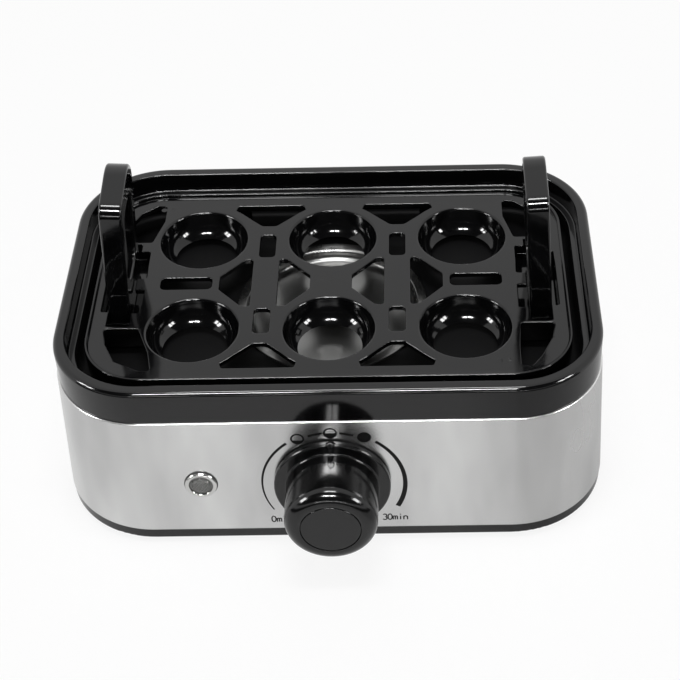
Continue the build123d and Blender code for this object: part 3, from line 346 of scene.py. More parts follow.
def cap(loops):
    """Flat triangles inside the first loop and outside the others, which lie in one level plane: a
    constrained Delaunay net, of which the triangles whose middle is inside an odd number of loops stay."""
    flat = np.concatenate([loop[:, :2] for loop in loops])
    starts = np.cumsum([0] + [len(loop) for loop in loops])
    edges = [
        (a + i, a + (i + 1) % (b - a)) for a, b in zip(starts[:-1], starts[1:]) for i in range(b - a)
    ]
    corners, _, faces, origin, _, _ = delaunay_2d_cdt([Vector(p) for p in flat], edges, [], 0, 1e-7, True)
    triangles = np.array([[origin[c][0] for c in face] for face in faces])
    middle = flat[triangles].mean(1)
    count = np.zeros(len(middle), int)
    for loop in loops:
        a, b = loop[:, :2], np.roll(loop[:, :2], -1, 0)
        level = middle[:, None, 1]
        crosses = (a[:, 1] > level) != (b[:, 1] > level)
        rise = np.where(b[:, 1] == a[:, 1], 1, b[:, 1] - a[:, 1])
        at = a[:, 0] + (level - a[:, 1]) * (b[:, 0] - a[:, 0]) / rise
        count += (crosses & (middle[:, None, 0] < at)).sum(1)
    return np.concatenate(loops), triangles[count % 2 == 1]


def plate_solid(outer, outer_section, holes):
    """A flat solid with holes. The outer wall and each hole's wall run from the top face to the bottom one,
    and a level net closes the top and the bottom between them."""
    walls = [wall(outer, outer_section)] + [wall(hole, section) for hole, section in holes]
    return [net(w) for w in walls] + [cap([w[0] for w in walls]), cap([w[-1] for w in walls])]


def face_frame(x, z, back=False):
    """Axes and origin of a place on the band's outer face: local Z points outwards, local Y up the face."""
    out = RIM[1] + BAND_PROUD + (BAND_TOP - z) * SLOPE
    side = -1.0 if back else 1.0
    axes = np.array([[side, 0, 0], [0, side * sin(TILT), -side * cos(TILT)], [0, cos(TILT), sin(TILT)]])
    return axes, np.array([x, -side * out, z])


def piece(name, parts, material, body, stands_for=(), frame=None, sharp=40):
    """Joins grids into one mesh in the row frame, merges shared points, turns its faces outwards and rides
    it on a body. Edges sharper than the angle stay crisp, and the rest is smooth, weighted by face area."""
    points, faces, count = [], [], 0
    for vertices, cells in parts:
        points.append(np.asarray(vertices, float))
        faces.extend((np.asarray(cells) + count).tolist())
        count += len(vertices)
    place = np.concatenate(points)
    if frame is not None:
        place = place @ frame[0].T + frame[1]
    place = (place + [0, SHIFT_Y, 0]) * MM
    mesh = bpy.data.meshes.new(name)
    mesh.from_pydata(place.tolist(), [], faces)
    shell = bmesh.new()
    shell.from_mesh(mesh)
    bmesh.ops.remove_doubles(shell, verts=shell.verts, dist=1e-6)
    bmesh.ops.recalc_face_normals(shell, faces=shell.faces)
    shell.to_mesh(mesh)
    shell.free()
    mesh.shade_smooth()
    mesh.set_sharp_from_angle(angle=radians(sharp))
    mesh.materials.append(material)
    made = bpy.data.objects.new(name, mesh)
    bpy.context.scene.collection.objects.link(made)
    weighted = made.modifiers.new("weighted", "WEIGHTED_NORMAL")
    weighted.keep_sharp = True
    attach(made, body)
    if stands_for:
        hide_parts(*stands_for)
    return made


# Pieces: top frame with its step, ledge and water pan
PLATE_SEAT = 46.4
PLATE_RECESS = 0.4
COLLAR = 42.0
COLLAR_THICK = 4.2
COLLAR_LOW = PAN_BOTTOM - 4.4
RIM_EDGE = 2.4
STEP_EDGE = 0.8
WELL_EDGE = 0.6
PAN_EDGE = 3.0
SKIRT_OUTER = 2.7
SKIRT_INNER = 5.1
SKIRT_LOW = BAND_TOP - 8
LEDGE_BOTTOM = LEDGE_TOP - SHELL


def around(radius):
    """A circle written as a rounded rectangle, for a section that passes from one to the other."""
    return (radius, radius, radius)


rim_section = (
    inset_rows(RIM, [(0, BAND_TOP)] + arc(RIM_EDGE, RIM_TOP - RIM_EDGE, RIM_EDGE, 180, 90, 10))
    + inset_rows(STEP, arc(-STEP_EDGE, RIM_TOP - STEP_EDGE, STEP_EDGE, 90, 0, 6))
    + inset_rows(STEP, arc(STEP_EDGE, LEDGE_TOP + STEP_EDGE, STEP_EDGE, 180, 270, 5))
    + inset_rows(WELL, arc(-WELL_EDGE, LEDGE_TOP - WELL_EDGE, WELL_EDGE, 90, 0, 5) + [(0, LEDGE_BOTTOM)])
    + inset_rows(RIM, [(SKIRT_INNER, LEDGE_BOTTOM), (SKIRT_INNER, SKIRT_LOW), (SKIRT_OUTER, SKIRT_LOW)])
    + inset_rows(RIM, [(SKIRT_OUTER, BAND_TOP)])
)
pan_section = (
    inset_rows(WELL, [(0, LEDGE_BOTTOM)] + arc(PAN_EDGE, PAN_TOP + PAN_EDGE, PAN_EDGE, 180, 270, 8))
    + inset_rows(around(PLATE_SEAT), [(0, PAN_TOP), (0, PAN_TOP - PLATE_RECESS)])
    + inset_rows(around(COLLAR), [(0, PAN_TOP - PLATE_RECESS), (0, COLLAR_LOW), (-COLLAR_THICK, COLLAR_LOW)])
    + inset_rows(around(COLLAR), [(-COLLAR_THICK, PAN_BOTTOM)])
    + inset_rows(WELL, [(-SHELL, PAN_BOTTOM), (-SHELL, LEDGE_BOTTOM)])
)
piece(
    "top_frame_rim", [net(rounded_rows(rim_section), close=True)], gloss_black, "cooker_body",
    ["top_frame"],
)
piece("top_frame_pan", [net(rounded_rows(pan_section), close=True)], textured_black, "cooker_body")

# Screw posts under the frame, with pilot holes for the base screws
POST_X, POST_Y = 78.0, 48.0
POST_RADIUS, POST_LOW = 4.5, 12.0
PILOT_RADIUS, PILOT_TOP = 1.6, 26.0
post_profile = [(POST_RADIUS, PAN_BOTTOM), (POST_RADIUS, POST_LOW), (PILOT_RADIUS, POST_LOW),
                (PILOT_RADIUS, PILOT_TOP), (0.0, PILOT_TOP)]
for number, (x, y) in enumerate([(sx * POST_X, sy * POST_Y) for sx in (-1, 1) for sy in (-1, 1)]):
    post = turned_rows(post_profile, 32) + [x, y, 0]
    piece(f"frame_post_{number + 1}", [net(post)], gloss_black, "cooker_body")

# Steel band: outer face, rolled top edge, flange turned in, and the inner face
BAND_EDGE = 0.5
BAND_FLANGE = 2.4
band_rows = []
for inset, height in (
    [(0, BAND_BOTTOM), (0, BAND_BOTTOM + 0.2)] + arc(BAND_EDGE, BAND_TOP - BAND_EDGE, BAND_EDGE, 180, 90, 6)
    + [(BAND_FLANGE, BAND_TOP), (BAND_FLANGE, BAND_TOP - BAND_SHEET)]
    + [(BAND_SHEET, BAND_TOP - BAND_SHEET), (BAND_SHEET, BAND_BOTTOM)]
):
    grow = BAND_PROUD + (BAND_TOP - height) * SLOPE - inset
    band_rows.append((RIM[0] + grow, RIM[1] + grow, RIM[2] + grow, height))
piece(
    "steel_band_wrap", [net(rounded_rows(band_rows, 32), close=True)], satin_steel, "cooker_body",
    ["steel_band", "band_back_panel"],
)

# Egg tray: one perforated plate whose outer wall is the lip and skirt, and whose round holes are the cups
def tray_outline(grow):
    """The tray's outer rounded rectangle, grown outwards."""
    return rounded_rows([(TRAY[0] + grow, TRAY[1] + grow, TRAY[2] + grow, 0)])[0][:, :2]


def mirrored(points, side_x, side_y):
    """Points of a loop, mirrored to a quarter of the tray and kept anticlockwise."""
    loop = np.array(points, float) * [side_x, side_y]
    return loop if side_x * side_y > 0 else loop[::-1]


tray_bottom = TRAY_TOP - SHELL
SKIRT_DROP = 9.0
SKIRT_THICK = 1.5
lip_section = (
    [(-1.9, TRAY_TOP), (-1.6, TRAY_TOP + 0.1), (-1.5, TRAY_TOP + 0.4)]
    + arc(-0.9, TRAY_TOP + 1.4, 0.6, 180, 90, 5) + arc(-0.6, TRAY_TOP + 1.4, 0.6, 90, 0, 5)
    + [(0, TRAY_TOP - SKIRT_DROP), (-SKIRT_THICK, TRAY_TOP - SKIRT_DROP), (-SKIRT_THICK, tray_bottom)]
)
cup_fall = np.linspace(0, 1, 15)
cup_inside = np.column_stack([
    (CUP_FOOT - CUP) * (0.45 * cup_fall + 0.55 * cup_fall ** 4), -CUP_EDGE - (CUP_DEPTH - CUP_EDGE) * cup_fall
])
cup_section = (
    [(x, TRAY_TOP + z) for x, z in arc(CUP_EDGE, -CUP_EDGE, CUP_EDGE, 90, 180, 7)]
    + [(x, TRAY_TOP + z) for x, z in cup_inside[1:]]
    + [(x + CUP_WALL, TRAY_TOP + z) for x, z in cup_inside[::-1] if z < -2.6]
    + [(CUP_WALL, tray_bottom)]
)
edge_section = arc(0.5, TRAY_TOP - 0.5, 0.5, 90, 180, 4) + [(0, tray_bottom)]

tray_holes = [
    (lambda grow, x=x, y=y: circle(x, y, CUP, grow), cup_section)
    for x in (-COLUMN, 0, COLUMN) for y in (-ROW, ROW)
]


def hole(points, radius, side_x=1, side_y=1):
    """A cut with rounded corners through the tray's plate."""
    loop = mirrored(points, side_x, side_y)
    tray_holes.append((lambda grow: rounded_polygon(loop, radius, grow), edge_section))


def slot_points(x, y, length_x, length_y):
    """Corners of an upright rectangle about a point."""
    return [(x - length_x / 2, y - length_y / 2), (x + length_x / 2, y - length_y / 2),
            (x + length_x / 2, y + length_y / 2), (x - length_x / 2, y + length_y / 2)]


CORNER_X, CORNER_Y = 83.9, 39.5
CORNER_REACH = 19.5
# Each corner opening starts at its own distance from the middle, as the photographed tray has it
corner_inner = {(-1, -1): 80.5, (1, -1): 88.0, (-1, 1): 84.5, (1, 1): 84.5}
for side_x in (-1, 1):
    for side_y in (-1, 1):
        half = [(14.35, 55.8, 0.8), (18.2, 52.7, 8.0), (22.6, 48.3, 8.0), (28.4, 42.9, 3.0)]
        turns = half + [(2 * WEB_X - x, y, r) for x, y, r in half[::-1]]
        turns += [(48.2, 59.0, 1.0), (15.3, 59.0, 1.0)]
        turns = turns if side_x * side_y > 0 else turns[::-1]
        triangle = [(side_x * x, side_y * y) for x, y, _ in turns]
        radii = [r for *_, r in turns]
        tray_holes.append((
            lambda grow, loop=triangle, radii=radii: rounded_polygon(loop, radii, grow), edge_section
        ))
        hole(slot_points(WEB_X, 27.3, 7.8, 16.8), 2.0, side_x, side_y)
        inner = corner_inner[(side_x, side_y)]
        lean = radians(45 if side_y < 0 else 50)
        hole([(89.0, 31.5), (105.0, 31.5), (103.0, 41.5),
              (CORNER_X + CORNER_REACH * cos(lean), CORNER_Y + CORNER_REACH * sin(lean)),
              (max(CORNER_X, inner + 5.0), 60.0), (inner, 60.0), (max(inner, 82.8), ROW + 15.0)],
             1.5, side_x, side_y)
    for facing in (-1, 1):
        kite = [(6.3, -17.4), (10.7, -16.4), (21.7, -4.6), (21.7, 4.6), (10.7, 16.4), (6.3, 17.4)]
        loop = np.array(kite) * [facing, 1] + [side_x * WEB_X, 0]
        hole(loop if facing > 0 else loop[::-1], 1.6)
    hole(slot_points(side_x * 69.3, 0, 24.8, 8.4), 2.6)
    hole([(93.5, -29.9), (104.0, -29.9), (104.0, -19.6), (107.7, -19.6), (107.7, 19.6), (104.0, 19.6),
          (104.0, 29.9), (93.5, 29.9), (93.5, 24.2), (89.0, 24.2), (89.0, 4.3), (93.5, 4.3), (93.5, -4.3),
          (89.0, -4.3), (89.0, -20.7), (93.5, -20.7)], 0.8, side_x, 1)
piece(
    "egg_tray_plate", plate_solid(tray_outline, lip_section, tray_holes), gloss_black, "egg_tray_body",
    ["egg_tray"],
)

# Pocket housings under the plate, which hold the handles
HANDLE_LOW = TRAY_TOP - 9.6
for side, name in ((-1, "left"), (1, "right")):
    box_loop = mirrored([(86.6, -31.5), (110.6, -31.5), (110.6, 31.5), (86.6, 31.5)], side, 1)
    well_loop = mirrored([(89.0, -29.9), (104.0, -29.9), (104.0, -19.6), (107.7, -19.6), (107.7, 19.6),
                          (104.0, 19.6), (104.0, 29.9), (89.0, 29.9)], side, 1)
    outside = wall(lambda grow: rounded_polygon(box_loop, 1.5, grow),
                   [(0, tray_bottom - 0.02)] + arc(-0.8, HANDLE_LOW - 1.6, 0.8, 0, -90, 3))
    inside = wall(lambda grow: rounded_polygon(well_loop, 0.8, grow),
                  [(0, tray_bottom - 0.02)] + arc(-0.6, HANDLE_LOW + 0.6, 0.6, 0, -90, 3))
    piece(
        "pocket_housing_" + name,
        [net(outside), net(inside), cap([outside[0], inside[0]]), cap([outside[-1]]), cap([inside[-1]])],
        gloss_black, "egg_tray_body",
    )

# Tray legs, which stand on the pan's floor
for number, (x, y, size_x, size_y) in enumerate(
    [(sx * 50.0, sy * (TRAY[1] - 0.9), 14.0, 1.8) for sx in (-1, 1) for sy in (-1, 1)]
    + [(sx * (TRAY[0] - 0.9), sy * 36.0, 1.8, 6.0) for sx in (-1, 1) for sy in (-1, 1)]
):
    corners = slot_points(x, y, size_x - 0.02, size_y - 0.02)
    leg = wall(lambda grow: rounded_polygon(corners, 0.5, grow), [(0, tray_bottom), (0, PAN_TOP + 0.01)])
    piece(f"tray_leg_{number + 1}", [net(leg), cap([leg[0]]), cap([leg[-1]])], gloss_black,
          "egg_tray_body")

# Gate marks on the tray's top, each a low dome beside a shallow scar
dome = turned_rows([(0.75, -0.02), (0.6, 0.18), (0.3, 0.28), (0.0, 0.3)], 24)
scar = turned_rows([(1.5, -0.02), (1.3, 0.05), (1.0, 0.01), (0.0, 0.03)], 24)
for number, (x, y) in enumerate([(-0.3, 0.6), (-81.0, 57.5), (82.5, -56.5)]):
    piece(f"gate_mark_{number + 1}", [net(dome + [x, y, TRAY_TOP]), net(scar + [x - 4.6, y - 0.6, TRAY_TOP])],
          gloss_black, "egg_tray_body")

# Handles: upright plates with a finger gap, which lean inwards. They are drawn on their own face, with
# y along the tray and height from the pocket's floor, and are given their thickness across it
HANDLE_FOOT = 94.6
HANDLE_HALF_LENGTH = 19.3
HANDLE_HALF_THICK = 5.2
HANDLE_ROUND = 12.5
HANDLE_EDGE = 1.2
HANDLE_FALL = 4.0
GAP_MIDDLE = 39.1
GAP_WIDTH = 22.0
GAP_HEIGHT = 41.0
GAP_ROUND = 6.0
LEAN = atan(0.06)
HANDLE_HEIGHT = (TRAY_TOP + 63.5 - HANDLE_LOW) / cos(LEAN)


def handle_outline(grow):
    """The handle's side outline: square at the foot, with a top that falls a little towards the front."""
    reach = HANDLE_HALF_LENGTH
    corners = [(-reach, 0), (reach, 0), (reach, HANDLE_HEIGHT), (4.0, HANDLE_HEIGHT),
               (-reach, HANDLE_HEIGHT - HANDLE_FALL)]
    return rounded_polygon(corners, [1.3, 1.3, HANDLE_ROUND, 20.0, 6.5], grow, 12)


def finger_gap(grow):
    """The rounded gap that fingers go through."""
    return rounded_polygon(slot_points(0, GAP_MIDDLE, GAP_WIDTH, GAP_HEIGHT), GAP_ROUND, grow, 8)


edge_centre = HANDLE_HALF_THICK - HANDLE_EDGE
handle_edge = (
    arc(-HANDLE_EDGE, edge_centre, HANDLE_EDGE, 90, 0, 5)
    + arc(-HANDLE_EDGE, -edge_centre, HANDLE_EDGE, 0, -90, 5)
)
gap_edge = (
    arc(HANDLE_EDGE, edge_centre, HANDLE_EDGE, 90, 180, 5)
    + arc(HANDLE_EDGE, -edge_centre, HANDLE_EDGE, 180, 270, 5)
)
for side, name in ((-1, "left"), (1, "right")):
    axes = np.array([[0, -side * sin(LEAN), cos(LEAN)], [1, 0, 0], [0, cos(LEAN), side * sin(LEAN)]])
    middle = [side * (HANDLE_FOOT + HANDLE_HALF_THICK * cos(LEAN)), 0,
              HANDLE_LOW + HANDLE_HALF_THICK * sin(LEAN)]
    piece(
        "handle_" + name + "_grip", plate_solid(handle_outline, handle_edge, [(finger_gap, gap_edge)]),
        gloss_black, "egg_tray_body", ["handle_" + name], frame=(axes, np.array(middle)),
    )

# Heating plate: a drawn dish with a rolled flange, which sits on a seal
PLATE_SHEET = 0.8
SEAL = 1.0
DISH_FLOOR = TRAY_TOP - 20.0
DISH_RADIUS = 37.5
DISH_EDGE = 3.0
FLANGE_START = 42.0
FLANGE_BEND = 1.5
flange_top = PAN_TOP - PLATE_RECESS + SEAL + PLATE_SHEET
edge_level, bend_level = DISH_FLOOR + DISH_EDGE, flange_top - FLANGE_BEND
dish = (
    [(0.0, DISH_FLOOR)] + [(r, DISH_FLOOR) for r in np.linspace(4, 36, 9)]
    + arc(DISH_RADIUS, edge_level, DISH_EDGE, -90, 0, 8)
    + arc(FLANGE_START, bend_level, FLANGE_BEND, 180, 90, 5)
    + arc(45.6, flange_top - PLATE_SHEET / 2, PLATE_SHEET / 2, 90, -90, 4)
    + arc(FLANGE_START, bend_level, FLANGE_BEND - PLATE_SHEET, 90, 180, 5)
    + arc(DISH_RADIUS, edge_level, DISH_EDGE + PLATE_SHEET, 0, -90, 8)
    + [(0.0, DISH_FLOOR - PLATE_SHEET)]
)
piece("heating_dish", [net(turned_rows(dish, 128))], shaded_dish_steel, "cooker_body", ["heating_plate"])

# Timer knob: skirt, grip and a round disc set in its face
dial = face_frame(DIAL_X, DIAL_Z)
knob_section = (
    [(24.4, 0.8)] + arc(26.4, 1.2, 0.4, -90, 0, 3) + arc(25.8, 2.8, 1.0, 0, 90, 6)
    + arc(22.2, 4.8, 1.0, 270, 180, 5) + arc(15.2, 24.0, 6.0, 0, 90, 14)
    + [(14.15, 30.0), (13.95, 29.85), (13.95, 28.4), (0.0, 28.4)]
)
NOTCH_HALF_WIDTH = 0.95
NOTCH_START = 24.2
NOTCH_DEPTH = 1.6


def knob_rows():
    """The knob's outer face turned about the dial's axis, with a pointer notch sunk in the skirt's top."""
    rows = turned_rows(knob_section, 180)
    reach = np.hypot(rows[..., 0], rows[..., 1])
    notch = np.exp(-((rows[..., 0] / NOTCH_HALF_WIDTH) ** 6)) * (rows[..., 1] > 0)
    sunk = notch * (reach > NOTCH_START) * (rows[..., 2] > 2.0) * (rows[..., 2] < 5.0)
    rows[..., 2] -= NOTCH_DEPTH * sunk
    return rows


hub = [(24.4, 0.8), (24.4, 2.2), (19.0, 2.2), (19.0, 24.0), (5.6, 24.0), (5.6, 3.4), (3.03, 3.4),
       (3.03, 17.4), (0.0, 17.4)]
piece("knob_grip", [net(knob_rows()), net(turned_rows(hub, 180))], satin_black, "dial_body", ["knob"],
      dial)
disc = [(0.0, 30.0)] + arc(13.1, 29.5, 0.5, 90, 0, 5)
disc += [(13.6, 28.42), (1.6, 28.42), (1.6, 25.8), (0.0, 25.8)]
piece("knob_face_disc", [net(turned_rows(disc, 144))], satin_black, "dial_body", ["knob_cap"],
      dial)

# Pilot lamp: bright bezel and a clear lens with a raised hexagon of small pyramids
lamp = face_frame(LAMP_X, LAMP_Z)
bezel = (
    [(5.4, 0.0)] + [(5.4, 1.0)] + arc(6.0, 1.0, 0.6, 180, 90, 4) + arc(6.6, 0.8, 0.8, 90, 0, 6)
    + [(7.4, 0.01), (5.7, 0.01), (5.7, -12.0), (4.8, -12.0), (4.8, 0.0), (5.4, 0.0)]
)
piece("lamp_ring", [net(turned_rows(bezel))], polished_steel, "cooker_body", ["lamp_bezel"],
      lamp)
LENS_HEXAGON = 3.9
RIDGE_PITCH = 1.15


def lens_height_at(x, y):
    """Height of the lens face: inside a raised hexagon, small pyramids where two sets of diagonal ridges
    cross, and outside it a smooth slope down to the bezel."""
    sides = [np.abs(x * cos(a) + y * sin(a)) for a in (0, pi / 3, 2 * pi / 3)]
    reach = np.maximum.reduce(sides)
    ridges = [np.abs((t / RIDGE_PITCH) % 1 - 0.5) * 2 for t in (x * 0.8 + y * 0.6, x * 0.8 - y * 0.6)]
    pyramids = 1.6 + 0.5 * np.minimum(*ridges)
    slope = 1.5 - 0.12 * np.hypot(x, y)
    groove = 0.5 * np.exp(-((reach - LENS_HEXAGON) / 0.22) ** 2)
    return np.where(reach < LENS_HEXAGON, pyramids, slope) - groove


lens_radius = np.concatenate([np.linspace(0.02, 4.95, 90), [5.0, 5.37, 5.37]])
lens_rows = turned_rows(np.column_stack([lens_radius, 0 * lens_radius]), 240)
lens_rows[..., 2] = lens_height_at(lens_rows[..., 0], lens_rows[..., 1])
lens_rows[-3:, :, 2] = np.array([0.3, 0.3, -5.0])[:, None]
lens_back = turned_rows([(4.6, -5.0), (4.6, 0.2), (0.0, 0.2)], 240)
lens_middle = np.repeat(lens_rows[:1].mean(1, keepdims=True), 240, 1)
piece("lamp_window", [net(np.concatenate([lens_middle, lens_rows, lens_back]))], clear_lens, "cooker_body",
      ["lamp_lens"], lamp, sharp=60)

# A thin black rubber ring round the bezel's edge, which the part doesn't have: a painted shadow for the dark
# gap round the bezel
bezel_shadow_ring = turned_rows([(7.0, 0.01), (7.0, 0.45), (7.6, 0.4), (7.75, 0.25), (7.75, 0.01)])
piece("lamp_painted_shadow_ring", [net(bezel_shadow_ring, close=True)], black_rubber, "cooker_body", frame=lamp)

# Dial print: arcs that widen clockwise, three egg signs, dashes and two times, as thin ink on the band
INK = 0.04
SIGN_RADIUS = 2.75
SIGN_STROKE = 0.8
LETTER_SIZE = 3.7
LETTER_STROKE = 0.62
ARC_RADIUS = 32.9
DASH_RADIUS = 31.9
DASH_STROKE = 1.2


def ribbon(path, width, closed=False):
    """A thin strip of ink: half its width to each side of a path along the path's normal."""
    path = np.array(path, float)
    along = np.roll(path, -1, 0) - np.roll(path, 1, 0) if closed else np.gradient(path, axis=0)
    along /= np.linalg.norm(along, axis=1)[:, None]
    across = np.column_stack([-along[:, 1], along[:, 0]]) * (np.broadcast_to(width, len(path)) / 2)[:, None]
    corners = [(path + across, 0.01), (path + across, INK), (path - across, INK), (path - across, 0.01)]
    rows = np.array([np.column_stack([p, np.full(len(p), z)]) for p, z in corners])
    strip = net(rows, close=True, ring=closed)
    if closed:
        return [strip]
    count = len(path)
    ends = np.array([[k * count for k in range(4)], [k * count + count - 1 for k in range(4)]])
    return [(strip[0], strip[1].tolist() + ends.tolist())]


def filled(loop):
    """A flat patch of ink inside a loop."""
    rows = np.array([np.column_stack([loop, np.full(len(loop), z)]) for z in (0.01, INK)])
    return [net(rows), cap([rows[0]]), cap([rows[-1]])]


def curve_points(centre_x, centre_y, radius_x, radius_y, start, end, steps):
    """Points of an elliptical arc between two angles in degrees."""
    angle = np.radians(np.linspace(start, end, steps + 1))
    return np.column_stack([centre_x + radius_x * np.cos(angle), centre_y + radius_y * np.sin(angle)])


def egg_sign(x, y, level):
    """A ring with ink up to a level, which is a share of its height."""
    ring = curve_points(x, y, SIGN_RADIUS, SIGN_RADIUS, 0, 360, 48)[:-1]
    reach = np.degrees(np.arcsin(2 * level - 1)) if level < 1 else 90.0
    ink = curve_points(x, y, 2.6, 2.6, -180 - reach, reach, 40)
    return ribbon(ring, SIGN_STROKE, closed=True) + filled(ink if level < 1 else ring)


def letter(mark, x, y):
    """Strokes of one character of the print, drawn with its left foot at a point."""
    h = LETTER_SIZE
    w, low, bend = 0.52 * h, 0.62 * h, 0.13 * h
    strokes = {
        "0": [curve_points(w / 2, h / 2, w / 2, h / 2, 0, 360, 24)],
        "3": [np.concatenate([curve_points(w / 2, 0.74 * h, 0.42 * w, 0.26 * h, 150, -80, 12),
                              curve_points(w / 2, 0.25 * h, 0.5 * w, 0.25 * h, 80, -150, 14)])],
        "m": [[(0, 0), (0, low)],
              np.concatenate([curve_points(w * 0.27, low - bend, bend, bend, 150, 0, 8), [(w * 0.52, 0)]]),
              np.concatenate([curve_points(w * 0.79, low - bend, bend, bend, 180, 0, 8), [(w * 1.04, 0)]])],
        "i": [[(w / 2, 0), (w / 2, low)], [(w / 2, 0.86 * h), (w / 2, h)]],
        "n": [[(0.05 * w, 0), (0.05 * w, low)], np.concatenate([
            curve_points(w / 2, low - 0.45 * w, 0.45 * w, 0.45 * w, 160, 0, 10), [(0.95 * w, 0)]])],
    }[mark]
    return [part for s in strokes for part in ribbon(np.array(s, float) + [x, y], LETTER_STROKE)]


left_arc = curve_points(0.5, -1.0, ARC_RADIUS, ARC_RADIUS, 128.3, 210.0, 60)
right_arc = curve_points(0.5, -1.0, ARC_RADIUS, ARC_RADIUS, 52.7, -27.5, 60)
print_parts = ribbon(left_arc, np.linspace(1.4, 0.6, 61)) + ribbon(right_arc, np.linspace(1.5, 2.4, 61))
print_parts += egg_sign(-14.75, 27.55, 0.32) + egg_sign(0.2, 30.8, 0.5) + egg_sign(15.4, 28.0, 1.0)
for start, end in ((108.6, 97.0), (82.6, 71.2)):
    print_parts += ribbon(curve_points(0.3, -1.0, DASH_RADIUS, DASH_RADIUS, start, end, 8), DASH_STROKE)
for mark, x in zip("0min", (-29.6, -27.1, -24.7, -22.3)):
    print_parts += letter(mark, x, -25.7)
for mark, x in zip("30min", (22.5, 24.9, 27.3, 29.8, 32.2)):
    print_parts += letter(mark, x, -25.3)
piece("dial_print", print_parts, black_ink, "cooker_body", frame=dial, sharp=30)


# Floor, world, lamps and camera
def studio_white(tree, lit, shade):
    """White to camera, glossy and transmission rays, and a plain level to all others. Shade is how much of
    the lit surface stays in it, which keeps the shadow."""
    rays = add_node(tree, "ShaderNodeLightPath").outputs
    seen = add_node(tree, "ShaderNodeMath", {"operation": "MAXIMUM"})
    tree.links.new(rays["Is Camera Ray"], seen.inputs[0])
    tree.links.new(rays["Is Glossy Ray"], seen.inputs[1])
    either = add_node(tree, "ShaderNodeMath", {"operation": "MAXIMUM"})
    tree.links.new(seen.outputs[0], either.inputs[0])
    tree.links.new(rays["Is Transmission Ray"], either.inputs[1])
    part = add_node(tree, "ShaderNodeMath", {"operation": "MULTIPLY", 1: 1.0 - shade})
    tree.links.new(either.outputs[0], part.inputs[0])
    mix = add_node(tree, "ShaderNodeMixShader")
    tree.links.new(part.outputs[0], mix.inputs[0])
    tree.links.new(lit, mix.inputs[1])
    return mix


world = bpy.data.worlds.new("studio")
world.use_nodes = True
world.node_tree.nodes.clear()
ambient = add_node(world.node_tree, "ShaderNodeBackground", {"Color": linear("#ffffff"), "Strength": 0.55})
white = add_node(world.node_tree, "ShaderNodeBackground", {"Color": linear("#ffffff"), "Strength": 1.0})
sky = studio_white(world.node_tree, ambient.outputs[0], 0.0)
world.node_tree.links.new(white.outputs[0], sky.inputs[2])
world_out = add_node(world.node_tree, "ShaderNodeOutputWorld")
world.node_tree.links.new(sky.outputs[0], world_out.inputs["Surface"])
bpy.context.scene.world = world

floor_finish, floor_tree = new_material("pale_studio_sheet")
paper = add_node(floor_tree, "ShaderNodeBsdfDiffuse", {"Color": linear("#f4f4f4")})
glow = add_node(floor_tree, "ShaderNodeEmission", {"Color": linear("#ffffff"), "Strength": 1.0})
sheet = studio_white(floor_tree, paper.outputs[0], 0.12)
floor_tree.links.new(glow.outputs[0], sheet.inputs[2])
finish_material(floor_tree, sheet.outputs[0])
floor_mesh = bpy.data.meshes.new("studio_floor")
floor_mesh.from_pydata([(-4, -4, 0), (4, -4, 0), (4, 4, 0), (-4, 4, 0)], [], [(0, 1, 2, 3)])
floor_mesh.materials.append(floor_finish)
studio_floor = bpy.data.objects.new("studio_floor", floor_mesh)
bpy.context.scene.collection.objects.link(studio_floor)


def softbox(name, place, aim, width, height, radiance, gleam=False):
    """A rectangular lamp that faces a point. Its power is its radiance times pi times its area. A gleam is
    seen in reflections alone, and doesn't raise the level of the light."""
    light = bpy.data.lights.new(name, "AREA")
    light.shape = "RECTANGLE"
    light.size, light.size_y = width, height
    light.energy = radiance * pi * width * height
    lamp_object = bpy.data.objects.new(name, light)
    lamp_object.location = place
    lamp_object.rotation_euler = (Vector(aim) - Vector(place)).to_track_quat("-Z", "Y").to_euler()
    lamp_object.visible_diffuse = not gleam
    bpy.context.scene.collection.objects.link(lamp_object)


AIM = (0, 0, 0.08)
LOW_AIM = (0, 0, 0.1)
softbox("overhead_softbox", (0.0, -0.1, 1.3), AIM, 0.5, 0.16, 26.0)
softbox("front_softbox_left", (-0.235, -1.0, 1.2), AIM, 0.27, 0.10, 130.0, gleam=True)
softbox("front_softbox_right", (0.09, -1.0, 1.2), AIM, 0.22, 0.10, 130.0, gleam=True)
for number in range(7):
    place = (-0.48 + 0.16 * number, -1.6, 0.2)
    softbox(f"low_front_lamp_{number + 1}", place, LOW_AIM, 0.08, 0.05, 25.0, gleam=True)
for side, name, reach, front in ((-1, "left", 1.1, -0.42), (1, "right", 1.05, -0.55)):
    for pane in (-1, 1):
        half_name = f"{name}_window_{'back' if pane > 0 else 'front'}"
        softbox(half_name, (side * reach, front + 0.11 * pane, 0.62), AIM, 0.15, 0.34, 30.0, gleam=True)

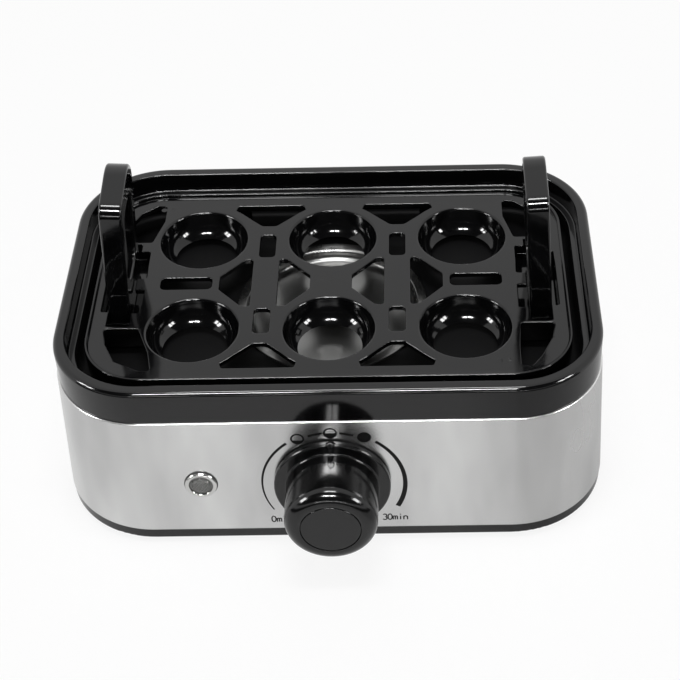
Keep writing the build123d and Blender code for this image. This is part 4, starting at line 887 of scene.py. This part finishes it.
# Cards that only reflections meet: the dark table beyond the pale sheet, the dark room above it, and a
# light shade over the sheet, deeper on its right
def card(name, colour, place, share=(1.0, 1.0), ramp=(-1, 1)):
    """A card from a function of two parameters between 0 and 1. Reflections see its colour, in a share that
    goes from one value to another between two places on X, and all other rays pass."""
    finish, tree = new_material(name)
    along = add_node(tree, "ShaderNodeTexCoord").outputs["Object"]
    across = add_node(tree, "ShaderNodeSeparateXYZ", Vector=along).outputs["X"]
    limits = {"From Min": ramp[0], "From Max": ramp[1], "To Min": share[0], "To Max": share[1]}
    part = add_node(tree, "ShaderNodeMapRange", limits, Value=across).outputs["Result"]
    glossy = add_node(tree, "ShaderNodeLightPath").outputs["Is Glossy Ray"]
    amount = add_node(tree, "ShaderNodeMath", {"operation": "MULTIPLY"})
    tree.links.new(part, amount.inputs[0])
    tree.links.new(glossy, amount.inputs[1])
    mix = add_node(tree, "ShaderNodeMixShader")
    tree.links.new(amount.outputs[0], mix.inputs[0])
    tree.links.new(add_node(tree, "ShaderNodeBsdfTransparent").outputs[0], mix.inputs[1])
    dull = add_node(tree, "ShaderNodeEmission", {"Color": linear(colour), "Strength": 1.0})
    tree.links.new(dull.outputs[0], mix.inputs[2])
    finish_material(tree, mix.outputs[0])
    u, v = np.meshgrid(np.linspace(0, 1, 25), np.linspace(0, 1, 5))
    vertices, quads = net(np.stack(place(u, v), -1), ring=False)
    card_mesh = bpy.data.meshes.new(name)
    card_mesh.from_pydata(vertices.tolist(), [], quads.tolist())
    card_mesh.materials.append(finish)
    card_object = bpy.data.objects.new(name, card_mesh)
    bpy.context.scene.collection.objects.link(card_object)


def table_part(u, v):
    """A ring on the floor beyond the pale sheet, on the camera's side."""
    turn_angle, reach = radians(-165) + radians(150) * u, 0.30 + 1.1 * v
    return reach * np.cos(turn_angle), reach * np.sin(turn_angle), 0.001 + 0 * u


DOME_RADIUS = 2.4


def dome_part(u, v):
    """Part of a dome round the cooker, on the camera's side: the dark room."""
    turn_angle, rise = radians(-165) + radians(150) * u, radians(9) + radians(64) * v
    level = DOME_RADIUS * np.cos(rise)
    return level * np.cos(turn_angle), level * np.sin(turn_angle), DOME_RADIUS * np.sin(rise)


def sheet_part(u, v):
    """The pale sheet round the cooker's front and sides."""
    return -0.29 + 0.58 * u, -0.29 + 0.5 * v, 0.0005 + 0 * u


card("dark_table_card", "#0c0c0c", table_part)
card("dark_room_card", "#303030", dome_part)
card("sheet_shade_card", "#303030", sheet_part, (0.14, 0.42), (0.06, 0.1))

CAMERA_PLACE = (0.0419, -0.58129, 0.59916)
YAW, PITCH, ROLL = radians(-1.18), radians(42.27), radians(-1.71)
ahead = np.array([sin(YAW) * cos(PITCH), cos(YAW) * cos(PITCH), -sin(PITCH)])
level = np.array([cos(YAW), -sin(YAW), 0])
upward = np.cross(level, ahead)
right = level * cos(ROLL) + upward * sin(ROLL)
top = -level * sin(ROLL) + upward * cos(ROLL)
lens = bpy.data.cameras.new("photo_camera")
lens.sensor_width = 36.0
lens.lens = 86.87
lens.shift_x, lens.shift_y = -0.0796, -0.0216
lens.clip_start, lens.clip_end = 0.01, 50
camera = bpy.data.objects.new("photo_camera", lens)
turn = Matrix([[*row] for row in np.column_stack([right, top, -ahead])])
camera.matrix_world = Matrix.Translation(CAMERA_PLACE) @ turn.to_4x4()
bpy.context.scene.collection.objects.link(camera)
bpy.context.scene.camera = camera
bpy.context.scene.view_settings.view_transform = "Standard"
